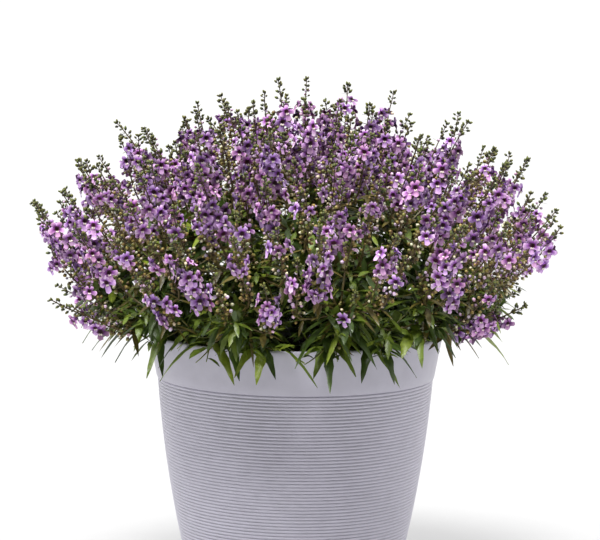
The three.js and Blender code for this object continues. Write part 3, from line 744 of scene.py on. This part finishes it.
def add_whorl(petals, greens, point, direction, node, share):
    level, face, other = outward_frame(direction)
    upright = direction[2] > math.cos(UPRIGHT)
    whorls = ROUND_WHORLS if upright else OUTWARD_WHORLS
    for angle in whorls[node % 2]:
        turn = math.radians(angle) + jitter(0.4)
        outward = math.cos(turn) * face + math.sin(turn) * other
        if rng.random() < MISSING:
            part = pick_part(DROPPED_PARTS)
            add_bud(greens, part, point, outward, between(3, 7), between(3, 4.8))
            continue
        out = 0 if upright else 0.2
        facing = outward + level * out + UP * between(-0.5, 0.35) + other * jitter(0.5)
        add_floret(petals, greens, point, outward, facing, between(0.76, 1.1) * (1 - 0.16 * share))


def add_capsules(greens, point, direction):
    start = any_turn()
    for i in range(3):
        lean = splayed(direction, start + i * NEXT_OF_THREE + jitter(0.4), between(0, 0.7))
        add_bud(greens, pick_part(SPENT_PARTS), point, lean, between(2, 6), between(3.4, 5.2))


def add_opening_buds(greens, point, direction, size):
    start = any_turn()
    for i in range(2):
        lean = splayed(direction, start + i * math.pi + jitter(0.4), between(0.3, 0.9))
        stalk = between(1.6, 3.6)
        add_bud(greens, pick_part(BUDDING_PARTS), point, lean, stalk, between(3.6, 5.0) * size)


def add_tip(greens, path, start, length):
    """The knot of green buds at the end of a raceme."""
    share = start
    while share < TIP_END:
        point = path_point(path, share)
        direction = path_direction(path, share)
        first = any_turn()
        small = 1 - 0.4 * (share - start) / (1 - start)
        for i in range(2):
            lean = splayed(direction, first + i * math.pi + jitter(0.6), between(0.2, 1.3))
            stalk = between(0.4, 4.0) * small
            add_bud(greens, GREEN_BUD, point, lean, stalk, between(4.2, 7.0) * small)
        heading = splayed(direction, first + jitter(1.5), between(0.3, 1.3))
        bract = between(4, 8.5) * small
        add_bract(greens, point, heading, bract, 1.1, BUD_GREEN * between(0.5, 1.1))
        share += TIP_NODE * between(0.8, 1.3) / length
    direction = path_direction(path, 1)
    for i in range(3):
        lean = splayed(direction, i * NEXT_OF_THREE, 2)
        add_bud(greens, GREEN_BUD, path[-1] - direction * 3, lean, 0.4, between(3.0, 5.0))


def add_raceme(petals, greens, fork, raceme, first_open, last_open):
    """Capsules up to first_open, florets up to last_open, then opening buds and the green tip."""
    foot, direction, length = raceme["foot"], raceme["direction"], raceme["length"]
    path = raceme_path(raceme)
    arm = bezier(fork["foot"], fork["heading"], foot, direction, 6)
    side = unit(np.cross(direction, [0.31, 0.22, 0.17]))
    whole = np.concatenate([arm[:-1], path])
    tube(greens, whole, np.linspace(*RACEME_RADII, len(whole)), 4, [STALK, STALK_TOP], side)
    buds_to = last_open + BUDS_OPEN
    share = 0.01
    node = 0
    while share < buds_to:
        point = path_point(path, share)
        along = path_direction(path, share)
        if share < first_open:
            add_capsules(greens, point, along)
            step = CAPSULE_NODE
        elif share < last_open:
            add_whorl(petals, greens, point, along, node, share)
            step = FLORET_NODE
        else:
            add_opening_buds(greens, point, along, 1 - 0.2 * share)
            step = BUD_NODE
        heading = splayed(along, any_turn(), between(0.2, 0.9))
        add_bract(greens, point, heading, between(4, 9), 1.2, BUD_GREEN * between(0.6, 1.3))
        share += step * between(0.9, 1.1) / length
        node += 1
    add_tip(greens, path, buds_to, length)


def add_spray(petals, greens, fork):
    for raceme in fork["racemes"]:
        last = between(*LOW_LAST_OPEN) if fork["low"] else between(*LAST_OPEN)
        faded = rng.random() < FADED - MAIN_BLOOM * bloom(raceme["foot"])
        first = last - between(*FADED_OPEN) if faded else max(0, between(*FIRST_OPEN))
        add_raceme(petals, greens, fork, raceme, first, last)
    for raceme in fork["sides"]:
        if raceme["spent"]:
            last = between(*SPENT_LAST_OPEN)
            add_raceme(petals, greens, fork, raceme, last - between(*SPENT_OPEN), last)
        else:
            add_raceme(petals, greens, fork, raceme, between(*SIDE_FIRST_OPEN), between(*LAST_OPEN))
    for raceme in fork["racemes"] + fork["sides"]:
        add_arm_leaves(greens, fork, raceme)


def add_arm_leaves(greens, fork, raceme):
    """Small leaves and spent flowers on the stalk below the florets."""
    arm = bezier(fork["foot"], fork["heading"], raceme["foot"], raceme["direction"], 9)
    for step in (2, 4, 6, 7):
        direction = unit(arm[step + 1] - arm[step - 1])
        turn = jitter(math.pi)
        for way in (0, math.pi):
            outward = around(direction, turn + way)
            if rng.random() < 0.4:
                lean = unit(outward + 0.5 * direction)
                add_bud(greens, CAPSULE_PART, arm[step], lean, between(2, 6), between(3, 4.8))
            else:
                heading = unit(outward + 0.6 * direction + 0.1 * UP)
                length = between(14, 27)
                colour = LEAF_OLIVE * between(0.5, 1.0)
                shape = (length, length * ARM_LEAF_HALF_WIDTH, ARM_LEAF_SAG)
                add_leaf(greens, arm[step], heading, *shape, jitter(0.2), colour, False)


# Leaves

ARM_LEAF_HALF_WIDTH = 0.13  # as a share of the length
ARM_LEAF_SAG = 0.35
LEAF_ROWS = 9
PLAIN_LEAF_ROWS = 5
LEAF_TEETH = 0.11
LEAF_HALF_WIDTH = (0.14, 0.175)  # as shares of the length
MIDRIB = 1.25  # how much paler than the blade it is
BACK = 1.3  # the same, for the blade's back


def leaf_colour():
    pick = rng.random()
    if pick < 0.42:
        return LEAF_TOP * between(0.75, 1.15)
    if pick < 0.9:
        return LEAF_DEEP * between(0.7, 1.15)
    return LEAF_YOUNG * between(0.8, 1.1)


def leaf_width(share):
    """Half width of a lance-shaped blade along its length, as a share of the widest."""
    return max(0.04, math.sin(math.pi * share**0.9) ** 0.8)


def leaf_point(start, heading, length, sag, share):
    return start + heading * length * share - UP * sag * length * share**2


def add_leaf(bundle, start, heading, length, half_width, sag, roll, colour, fine):
    """A lance-shaped blade that arches over, folded along its midrib. A fine one has teeth."""
    side = unit(np.cross(UP, heading))
    side = side * math.cos(roll) + UP * math.sin(roll)
    rows = LEAF_ROWS if fine else PLAIN_LEAF_ROWS
    columns = (-1, -0.5, 0, 0.5, 1) if fine else (-1, 0, 1)
    curl = jitter(0.12)
    phase = between(0, 6)
    points = []
    tints = []
    for row in range(rows):
        share = row / (rows - 1)
        centre = leaf_point(start, heading, length, sag, share) + side * curl * length * share**2
        ahead = unit(heading - 2 * UP * sag * share)
        normal = unit(np.cross(side, ahead))
        width = half_width * leaf_width(share)
        if fine and 0 < row < rows - 1:
            width *= 1 + LEAF_TEETH * (1 if row % 2 else -1)
        for column in columns:
            wave = 0.07 * half_width * math.sin(9 * share + phase) * column
            fold = 0.24 * abs(column) * width
            points.append(centre + side * column * width + normal * (fold + wave))
            tints.append(colour * (MIDRIB if column == 0 else 1.0) * (0.92 + 0.16 * share))
    bundle.add(points, grid_triangles(rows, len(columns)), np.array(tints))
    if fine:
        add_underside(bundle, points, rows, colour)


def add_underside(bundle, points, rows, colour):
    """The paler back of a blade, which shares its outline and stands off it at the midrib."""
    under = []
    for row in range(rows):
        left, middle, right = (np.array(points[row * 5 + k]) for k in (0, 2, 4))
        fold = (left + right) / 2 - middle
        under += [left, middle - 0.3 * fold, right]
    bundle.add(under, grid_triangles(rows, 3)[:, ::-1], colour * BACK)


BLADE_SHORTEST = 8.0  # from the solid's upper row of corners to the tip
BLADE_WIDEST = 14.0  # that row, on its widest axis
BLADE_LOWER = 0.32  # where the solid's blade has its lower row, as a share of its length
BLADE_HALF_WIDTH = (4.6, 6.0)


def blades_of(node):
    """The blades of a leafy stem's solid, as foot, lower row and tip. A tip is a corner where four
    narrow faces meet, and the blade's two rows of four corners and its foot lie behind it."""
    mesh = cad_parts[node].data
    corners = np.array([v.co for v in mesh.vertices]) / MM
    keys = {}
    merged = [keys.setdefault(tuple(np.round(c, 2)), len(keys)) for c in corners]
    places = np.zeros((len(keys), 3))
    places[merged] = corners
    neighbours = [set() for _ in keys]
    faces_at = [0] * len(keys)
    for polygon in mesh.polygons:
        ring = [merged[v] for v in polygon.vertices]
        for i, index in enumerate(ring):
            neighbours[index] |= {ring[i - 1], ring[(i + 1) % len(ring)]}
            faces_at[index] += 1
    blades = []
    for tip, upper in enumerate(neighbours):
        if faces_at[tip] != 4 or len(upper) != 4:
            continue
        row = places[list(upper)]
        short = np.linalg.norm(places[tip] - row.mean(0)) < BLADE_SHORTEST
        if short or np.ptp(row, axis=0).max() > BLADE_WIDEST:
            continue
        lower = set().union(*(neighbours[i] for i in upper)) - upper - {tip}
        if len(lower) != 4:
            continue
        foot = set().union(*(neighbours[i] for i in lower)) - lower - upper
        blades.append([places[list(ring)].mean(0) for ring in (foot, lower, {tip})])
    return blades


def add_blade(bundle, blade):
    """A fine leaf along the blade of a solid."""
    foot, lower, tip = blade
    whole = tip - foot
    fall = ((lower - foot) - BLADE_LOWER * whole) / (BLADE_LOWER * (1 - BLADE_LOWER))
    ahead = whole + fall
    length = np.linalg.norm(ahead)
    sag = float(np.dot(fall, UP)) / length
    shape = (length, between(*BLADE_HALF_WIDTH), sag)
    add_leaf(bundle, foot, ahead / length, *shape, jitter(0.12), leaf_colour(), True)


# Stems


def stem_path(stem):
    soil_top = np.array([stem["root"][0], stem["root"][1], MIX_EDGE + MIX_CROWN])
    above = bezier(soil_top, UP, stem["top"], stem["direction"], 10, 0.45)
    return np.concatenate([[stem["root"], (stem["root"] + soil_top) / 2], above])


def branch_path(stem, branch):
    outward = unit(branch["foot"] - stem["top"])
    return bezier(stem["top"], outward, branch["foot"], branch["heading"], 12)


STEM_SPRIGS = 14
FORK_SPRIGS = 6
SPRIG_RADII = (1.1, 0.5)
SPRIG_LEAF = (20, 32)
BRANCH_END_RADIUS = 1.4
BRANCH_LEAF = (28, 40)
BRANCH_LEAF_STEP = 12.0
HANG = {"sprig": 0.3, "branch": 0.35, "skirt": 0.6}  # how far the leaves there droop
SKIRT_TOP = POT_HEIGHT + 60  # branches that end lower carry the leaves over the rim
SHORT_HANG = 4.0  # how far below the rim most of the added leaves may reach
LONG_HANG = 26.0
LONG_HANGING = 0.04  # share of them that may reach further


def stays_clear(start, heading, length, sag):
    """Whether a leaf stays above the mix and the rim, and hangs no further outside than it may."""
    lowest = POT_HEIGHT - (LONG_HANG if rng.random() < LONG_HANGING else SHORT_HANG)
    for share in (0.4, 0.6, 0.8, 1):
        x, y, z = leaf_point(start, heading, length, sag, share)
        out = math.hypot(x, y)
        if out < RIM_RADIUS - WALL - 3:
            floor = MIX_EDGE + MIX_CROWN + 2
        elif out < RIM_RADIUS + 3:
            floor = POT_HEIGHT + 2
        else:
            floor = lowest
        if z < floor:
            return False
    return True


def add_leaf_pair(bundle, point, direction, turn, length, hang, fine):
    """Two leaves on opposite sides of a stalk. hang is how far they droop."""
    for way in (0, math.pi):
        outward = around(direction, turn + way)
        heading = unit(outward + direction * between(0.4, 0.8) + UP * between(0.1, 0.35))
        size = length * between(0.85, 1.12)
        sag = hang + jitter(0.15)
        if stays_clear(point, heading, size, sag):
            shape = (size, size * between(*LEAF_HALF_WIDTH), sag)
            add_leaf(bundle, point, heading, *shape, jitter(0.25), leaf_colour(), fine)


def add_sprig(bundle, start, direction, length, hang, fine):
    """A short leafy twig."""
    end = start + direction * length + UP * length * 0.15
    path = bezier(start, direction, end, unit(direction + UP * 0.3), 6)
    radii = np.linspace(*SPRIG_RADII, 6)
    tube(bundle, path, radii, 3, [STALK, LEAF_YOUNG * 0.8], curve_side(direction))
    first = between(0, math.pi)
    for i, step in enumerate((1, 2, 3, 4, 5)):
        along = unit(path[step] - path[step - 1])
        size = between(*SPRIG_LEAF) * (1.05 - 0.1 * i)
        turn = first + i * LEVEL + jitter(0.3)
        add_leaf_pair(bundle, path[step], along, turn, size, hang, fine)


def add_branch(bundle, stem, branch):
    path = branch_path(stem, branch)
    length = np.linalg.norm(np.diff(path, axis=0), axis=1).sum()
    radii = np.linspace(BRANCH_RADIUS, BRANCH_END_RADIUS, len(path))
    tube(bundle, path, radii, 5, [STALK, STALK], curve_side(branch["heading"]))
    low = branch["foot"][2] < SKIRT_TOP
    hang = HANG["skirt" if low else "branch"]
    steps = max(2, int(length / BRANCH_LEAF_STEP))
    for i in range(1, steps + 1):
        share = (i + 0.3) / (steps + 0.6)
        point = path_point(path, share)
        direction = path_direction(path, share)
        size = between(*BRANCH_LEAF) * (1.0 - 0.25 * share)
        add_leaf_pair(bundle, point, direction, i * LEVEL + jitter(0.4), size, hang, low)
        outward = around(direction, jitter(math.pi))
        heading = unit(direction + 0.9 * outward)
        add_sprig(bundle, point, heading, between(22, 40), hang, low and i % 2 == 0)


def add_fork_sprigs(bundle, fork):
    """Leafy twigs round the foot of a spray, which close the dome behind its flowers."""
    first = any_turn()
    for i in range(FORK_SPRIGS):
        outward = around(fork["heading"], first + i * TURN / FORK_SPRIGS)
        direction = unit(fork["heading"] + 1.1 * outward)
        if fork["low"] and direction[2] < 0:
            continue
        add_sprig(bundle, fork["foot"], direction, between(26, 40), HANG["sprig"], False)


def add_stem_sprigs(bundle, path):
    """Leafy twigs along the upper part of a stem, which close the plant behind its skirt."""
    for i in range(STEM_SPRIGS):
        share = 0.4 + 0.6 * (i + 0.5) / STEM_SPRIGS
        outward = around(path_direction(path, share), 2.4 * i + jitter(0.4))
        direction = unit(outward + UP * between(0.2, 0.9))
        add_sprig(bundle, path_point(path, share), direction, between(24, 44), HANG["sprig"], False)


def add_leafy_stem(bundle, stem, node):
    path = stem_path(stem)
    radii = np.linspace(STEM_RADIUS, STEM_RADIUS * 0.75, len(path))
    side = at_azimuth(1, stem["azimuth"] + LEVEL, 0)
    tube(bundle, path, radii, 8, [STALK * 0.8, STALK], side)
    add_stem_sprigs(bundle, path)
    for branch in stem["forks"] + stem["shoots"]:
        add_branch(bundle, stem, branch)
    for fork in stem["forks"]:
        add_fork_sprigs(bundle, fork)
    for blade in blades_of(node):
        add_blade(bundle, blade)


# Planter and potting mix


def body_radius(height):
    drop = BAND_FOOT - height
    return BODY_TOP_RADIUS - BODY_SLOPE * drop - BODY_CURVE * drop * drop


def inner_radius(height):
    if height <= BAND_FOOT:
        return body_radius(height) - WALL
    share = (height - BAND_FOOT) / BAND_HEIGHT
    return BODY_TOP_RADIUS + (RIM_RADIUS - BODY_TOP_RADIUS) * share - WALL


RIB_SHAPE = [(0, 1), (0.16, 0.4), (0.36, 0.04), (0.62, 0.04), (0.86, 0.5)]  # share of pitch, depth
RIB_RIDGE = 0.4  # how far the ridges stand out of the solid's wall
LIP = 2.4  # radius of the rounded lip
INSIDE_RINGS = (POT_HEIGHT - 8, MIX_EDGE, BAND_FOOT, 150.0, 80.0, FLOOR + 4)  # their heights
# how much painted shade darkens the deepest grooves between the ribs
GROOVE_PAINTED_SHADE = 0.24
BAND_PAINTED_SHADOW = 0.87  # painted shadow of the plant on the smooth band, as a share of the ribs' ridges


def planter_profile():
    """Radius and height, from the underside up the outside, over the lip and down inside."""
    profile = [(body_radius(0) - 2.0, 0.0), (body_radius(0) - 0.6, 0.5), (body_radius(0), 2.2)]
    ribs = int((BAND_FOOT - 3.5) / RIB_PITCH)
    start = BAND_FOOT - ribs * RIB_PITCH
    for rib in range(ribs):
        for share, depth in RIB_SHAPE:
            height = start + (rib + share) * RIB_PITCH
            profile.append((body_radius(height) - depth * RIB_DEPTH + RIB_RIDGE, height))
    profile.append((BODY_TOP_RADIUS - RIB_DEPTH, BAND_FOOT))
    profile.append((BAND_FOOT_RADIUS - 0.5, BAND_FOOT + 0.4))
    for share in (0, 0.25, 0.5, 0.75):
        height = BAND_FOOT + 1.2 + share * (BAND_HEIGHT - 7)
        profile.append((BAND_FOOT_RADIUS + (RIM_RADIUS - 0.8 - BAND_FOOT_RADIUS) * share, height))
    profile.append((RIM_RADIUS - 0.5, POT_HEIGHT - 5.5))
    for angle in range(0, 181, 20):
        over, rise = LIP * math.cos(math.radians(angle)), LIP * math.sin(math.radians(angle))
        profile.append((RIM_RADIUS - LIP + over, POT_HEIGHT - LIP + rise))
    for height in INSIDE_RINGS:
        profile.append((inner_radius(height), height))
    profile.append((inner_radius(FLOOR) - 4, FLOOR))
    return profile


def painted_shade_at(radius, height):
    """Painted shade in the rib grooves, and the plant's painted shadow on the smooth band."""
    if height > BAND_FOOT:
        return BAND_PAINTED_SHADOW
    depth = (body_radius(height) + RIB_RIDGE - radius) / RIB_DEPTH
    return 1 - GROOVE_PAINTED_SHADE * min(max(depth, 0), 1)


def add_lathe(bundle, profile, sides):
    # painted shade on the planter's corners: darker in the grooves and on the band
    painted_shades = np.repeat([painted_shade_at(radius, height) for radius, height in profile], sides)
    triangles = grid_triangles(len(profile), sides, closed=True)
    bundle.add(lathe_points(profile, sides), triangles, np.ones(3) * painted_shades[:, None])


def drain_centres():
    turns = [TURN * hole / DRAIN_HOLES + DRAIN_TURN for hole in range(DRAIN_HOLES)]
    return [at_azimuth(DRAIN_CIRCLE, turn, 0) for turn in turns]


def add_plate(bundle, radius, height, up):
    """A round plate with the drain holes cut out."""
    rings = [circle((0, 0), radius, height, POT_SIDES)]
    rings += [circle(centre, DRAIN_RADIUS, height, DRAIN_SIDES) for centre in drain_centres()]
    bm = bmesh.new()
    edges = []
    for ring in rings:
        corners = [bm.verts.new(corner) for corner in ring]
        edges += [bm.edges.new((corners[i - 1], corners[i])) for i in range(len(corners))]
    bmesh.ops.triangle_fill(bm, edges=edges, use_beauty=True, normal=Vector((0, 0, 1)))
    bm.verts.index_update()
    points = [tuple(v.co) for v in bm.verts]
    triangles = []
    for face in bm.faces:
        ring = [v.index for v in face.verts]
        triangles.append(ring if (face.normal.z > 0) == up else ring[::-1])
    bm.free()
    bundle.add(points, triangles, np.ones(3))


def make_planter(material):
    bundle = Bundle()
    profile = planter_profile()
    add_lathe(bundle, profile, POT_SIDES)
    add_plate(bundle, profile[0][0], 0.0, up=False)
    add_plate(bundle, profile[-1][0], FLOOR, up=True)
    for centre in drain_centres():
        low, high = (circle(centre, DRAIN_RADIUS, height, DRAIN_SIDES) for height in (0.0, FLOOR))
        bundle.add(low + high, grid_triangles(2, DRAIN_SIDES, closed=True)[:, ::-1], np.ones(3))
    bundle.make("planter_shell", material, ["planter"])


MIX_COLOUR = srgb(56, 44, 36)
CHIP_COLOUR = srgb(66, 52, 40)
CHIP_PALE = srgb(112, 92, 68)
PALE_CHIPS = 0.2  # share of them
MIX_SIDES = 96
MIX_RINGS = 34
MIX_GAP = 0.5  # to the planter's wall and floor
MIX_SIDE = (FLOOR + MIX_GAP, 110.0, BAND_FOOT)  # heights of the rings up its side
MIX_ROUGH = 1.6


def add_mix_body(bundle, inner):
    side = [(inner_radius(height) - MIX_GAP, height) for height in MIX_SIDE]
    points = lathe_points(side, MIX_SIDES)
    for ring in range(MIX_RINGS + 1):
        share = 1 - ring / MIX_RINGS
        height = MIX_EDGE + MIX_CROWN * (1 - share * share)
        for x, y, z in circle((0, 0), inner * share, height, MIX_SIDES):
            points.append((x, y, z + (jitter(MIX_ROUGH) if ring else 0)))
    bundle.add(points, grid_triangles(MIX_RINGS + 4, MIX_SIDES, closed=True), MIX_COLOUR)
    foot = [(0, 0, FLOOR + MIX_GAP)] + points[:MIX_SIDES]
    fan = [(0, 1 + (i + 1) % MIX_SIDES, 1 + i) for i in range(MIX_SIDES)]
    bundle.add(foot, fan, MIX_COLOUR)


def add_chips(bundle, inner):
    """Crumbs of bark and mix that lie on the surface."""
    chip = turned_part([(0, -0.5), (0.5, -0.1), (0.4, 0.3), (0, 0.5)], 5, [np.ones(3)] * 4)
    for _ in range(MIX_CHIPS):
        share = math.sqrt(rng.random()) * (inner - 3) / inner
        height = MIX_EDGE + MIX_CROWN * (1 - share**2) + between(0, 1.5)
        centre = at_azimuth(inner * share, any_turn(), height)
        shape = np.array([between(0.5, 1.4), between(0.5, 1.2), between(0.3, 0.7)]) * between(2, 6)
        colour = CHIP_COLOUR if rng.random() < 1 - PALE_CHIPS else CHIP_PALE
        axes = pointing_axes(unit(np.array([jitter(1), jitter(1), 0.7])))
        add_copy(bundle, chip, centre, axes, shape, colour * between(0.6, 1.2))


def make_mix(material):
    bundle = Bundle()
    inner = inner_radius(MIX_EDGE) - MIX_GAP
    add_mix_body(bundle, inner)
    add_chips(bundle, inner)
    bundle.make("potting_mix_surface", material, ["potting_mix"])


# Materials


PLANTER_COLOUR = srgb(201, 198, 212)
FLOOR_GREY = 0.26
FLOOR_GLOW = 0.42


def set_inputs(node, values):
    for name, value in values.items():
        node.inputs[name].default_value = value


def new_material(name, values):
    material = bpy.data.materials.new(name)
    material.use_nodes = True
    nodes = material.node_tree.nodes
    set_inputs(nodes["Principled BSDF"], values)
    return material, nodes, material.node_tree.links


def grain_node(nodes, links, scale, detail=2.0):
    where = nodes.new("ShaderNodeTexCoord")
    grain = nodes.new("ShaderNodeTexNoise")
    set_inputs(grain, {"Scale": scale, "Detail": detail})
    links.new(where.outputs["Object"], grain.inputs["Vector"])
    return grain.outputs["Fac"]


def add_mottle(nodes, links, colour, grain, low, high):
    """A colour made darker and lighter by a grain, from low to high times its own value."""
    ramp = nodes.new("ShaderNodeMapRange")
    set_inputs(ramp, {"From Min": 0.3, "From Max": 0.7, "To Min": low, "To Max": high})
    scaled = nodes.new("ShaderNodeVectorMath")
    scaled.operation = "SCALE"
    links.new(grain, ramp.inputs["Value"])
    links.new(colour, scaled.inputs[0])
    links.new(ramp.outputs["Result"], scaled.inputs["Scale"])
    links.new(scaled.outputs["Vector"], nodes["Principled BSDF"].inputs["Base Color"])


def add_bump(nodes, links, grain, strength, distance):
    bump = nodes.new("ShaderNodeBump")
    set_inputs(bump, {"Strength": strength, "Distance": distance})
    links.new(grain, bump.inputs["Height"])
    links.new(bump.outputs["Normal"], nodes["Principled BSDF"].inputs["Normal"])


def tint_of(nodes):
    tint = nodes.new("ShaderNodeVertexColor")
    tint.layer_name = "tint"
    return tint.outputs["Color"]


def petal_material():
    sheen = {"Sheen Weight": 0.15, "Sheen Roughness": 0.5}
    values = {"Roughness": 0.6, "Specular IOR Level": 0.3, **sheen}
    material, nodes, links = new_material("floret_petal", values)
    grain = grain_node(nodes, links, 420)
    add_mottle(nodes, links, tint_of(nodes), grain, 0.82, 1.14)
    add_bump(nodes, links, grain, 0.25, 0.0006)
    return material


def leaf_material():
    values = {"Roughness": 0.4, "Specular IOR Level": 0.55}
    material, nodes, links = new_material("leaf_and_stalk", values)
    grain = grain_node(nodes, links, 260)
    add_mottle(nodes, links, tint_of(nodes), grain, 0.75, 1.2)
    add_bump(nodes, links, grain, 0.3, 0.0008)
    return material


def planter_material():
    values = {"Roughness": 0.42, "Specular IOR Level": 0.4}
    material, nodes, links = new_material("planter_plastic", values)
    base = nodes.new("ShaderNodeVectorMath")
    base.operation = "MULTIPLY"
    base.inputs[1].default_value = PLANTER_COLOUR
    links.new(tint_of(nodes), base.inputs[0])
    add_mottle(nodes, links, base.outputs[0], grain_node(nodes, links, 60, 3), 0.96, 1.03)
    add_bump(nodes, links, grain_node(nodes, links, 900), 0.12, 0.0003)
    return material


def mix_material():
    material, nodes, links = new_material("moist_mix", {"Roughness": 0.95})
    grain = grain_node(nodes, links, 500, 6)
    add_mottle(nodes, links, tint_of(nodes), grain, 0.5, 1.5)
    add_bump(nodes, links, grain, 0.8, 0.002)
    return material


def floor_material():
    values = {"Base Color": (FLOOR_GREY, FLOOR_GREY, FLOOR_GREY, 1), "Roughness": 0.9}
    glow = {"Emission Color": (1, 1, 1, 1), "Emission Strength": FLOOR_GLOW}
    return new_material("floor_white", {**values, **glow})[0]


# Camera, floor and light


def make_camera():
    data = bpy.data.cameras.new("camera")
    data.sensor_width = SENSOR
    data.lens = FOCAL_PIXELS / PHOTO_WIDTH * SENSOR
    data.shift_x = PRINCIPAL_LEFT / PHOTO_WIDTH
    data.clip_end = SIGHT
    camera = add_object("camera", data)
    tilt = Matrix.Rotation(LEVEL - CAMERA_PITCH, 4, "X") @ Matrix.Rotation(CAMERA_ROLL, 4, "Z")
    camera.matrix_world = Matrix.Translation(CAMERA_PLACE) @ tilt
    bpy.context.scene.camera = camera


FLOOR_HALF = 30.0  # metres, so that the floor reaches past the top of a low view


def make_floor():
    mesh = bpy.data.meshes.new("floor")
    corners = [(x * FLOOR_HALF, y * FLOOR_HALF, 0) for x, y in ((-1, -1), (1, -1), (1, 1), (-1, 1))]
    mesh.from_pydata(corners, [], [(0, 1, 2, 3)])
    mesh.materials.append(floor_material())
    floor = add_object("floor", mesh)


SUN_FROM = (-0.15, -0.33, 0.93)
SUN_STRENGTH = 4.7
SUN_ANGLE = 0.5


def make_sun():
    data = bpy.data.lights.new("key", "SUN")
    data.energy = SUN_STRENGTH
    data.angle = SUN_ANGLE
    light = add_object("key", data)
    light.rotation_mode = "QUATERNION"
    light.rotation_quaternion = Vector(SUN_FROM).to_track_quat("Z", "Y")


WORLD_FRONT = 0.03
WORLD_BACK = 1.25
WORLD_BLEND = (-0.8, 0.1)  # where the one passes into the other, along Y


def make_world():
    """A white studio: bright behind the plant, dimmer in front of it."""
    world = bpy.data.worlds.new("studio")
    bpy.context.scene.world = world
    world.use_nodes = True
    nodes, links = world.node_tree.nodes, world.node_tree.links
    where = nodes.new("ShaderNodeTexCoord")
    parts = nodes.new("ShaderNodeSeparateXYZ")
    ramp = nodes.new("ShaderNodeMapRange")
    ramp.interpolation_type = "SMOOTHSTEP"
    set_inputs(ramp, {"From Min": WORLD_BLEND[0], "From Max": WORLD_BLEND[1]})
    set_inputs(ramp, {"To Min": WORLD_FRONT, "To Max": WORLD_BACK})
    links.new(where.outputs["Generated"], parts.inputs["Vector"])
    links.new(parts.outputs["Y"], ramp.inputs["Value"])
    links.new(ramp.outputs["Result"], nodes["Background"].inputs["Strength"])
    nodes["Background"].inputs["Color"].default_value = (1, 1, 1, 1)


def make_studio():
    bpy.context.scene.view_settings.view_transform = "Standard"
    make_world()
    make_floor()
    make_sun()


# The assembly


def make_plant():
    forks = plan_forks()
    stems = plan_stems(forks, plan_shoots())
    plan_side_racemes(forks)
    petal = petal_material()
    leaf = leaf_material()
    for i, stem in enumerate(stems, 1):
        node = f"leafy_stem_{i:02d}"
        bundle = Bundle()
        add_leafy_stem(bundle, stem, node)
        bundle.make(f"foliage_{i:02d}", leaf, [node])
    for i, fork in enumerate(forks, 1):
        petals = Bundle()
        greens = Bundle()
        add_spray(petals, greens, fork)
        node = f"flower_spray_{i:02d}"
        petals.make(f"florets_{i:02d}", petal, [node])
        greens.make(f"flower_stalks_{i:02d}", leaf, [node])


make_camera()
make_studio()
make_planter(planter_material())
make_mix(mix_material())
make_plant()
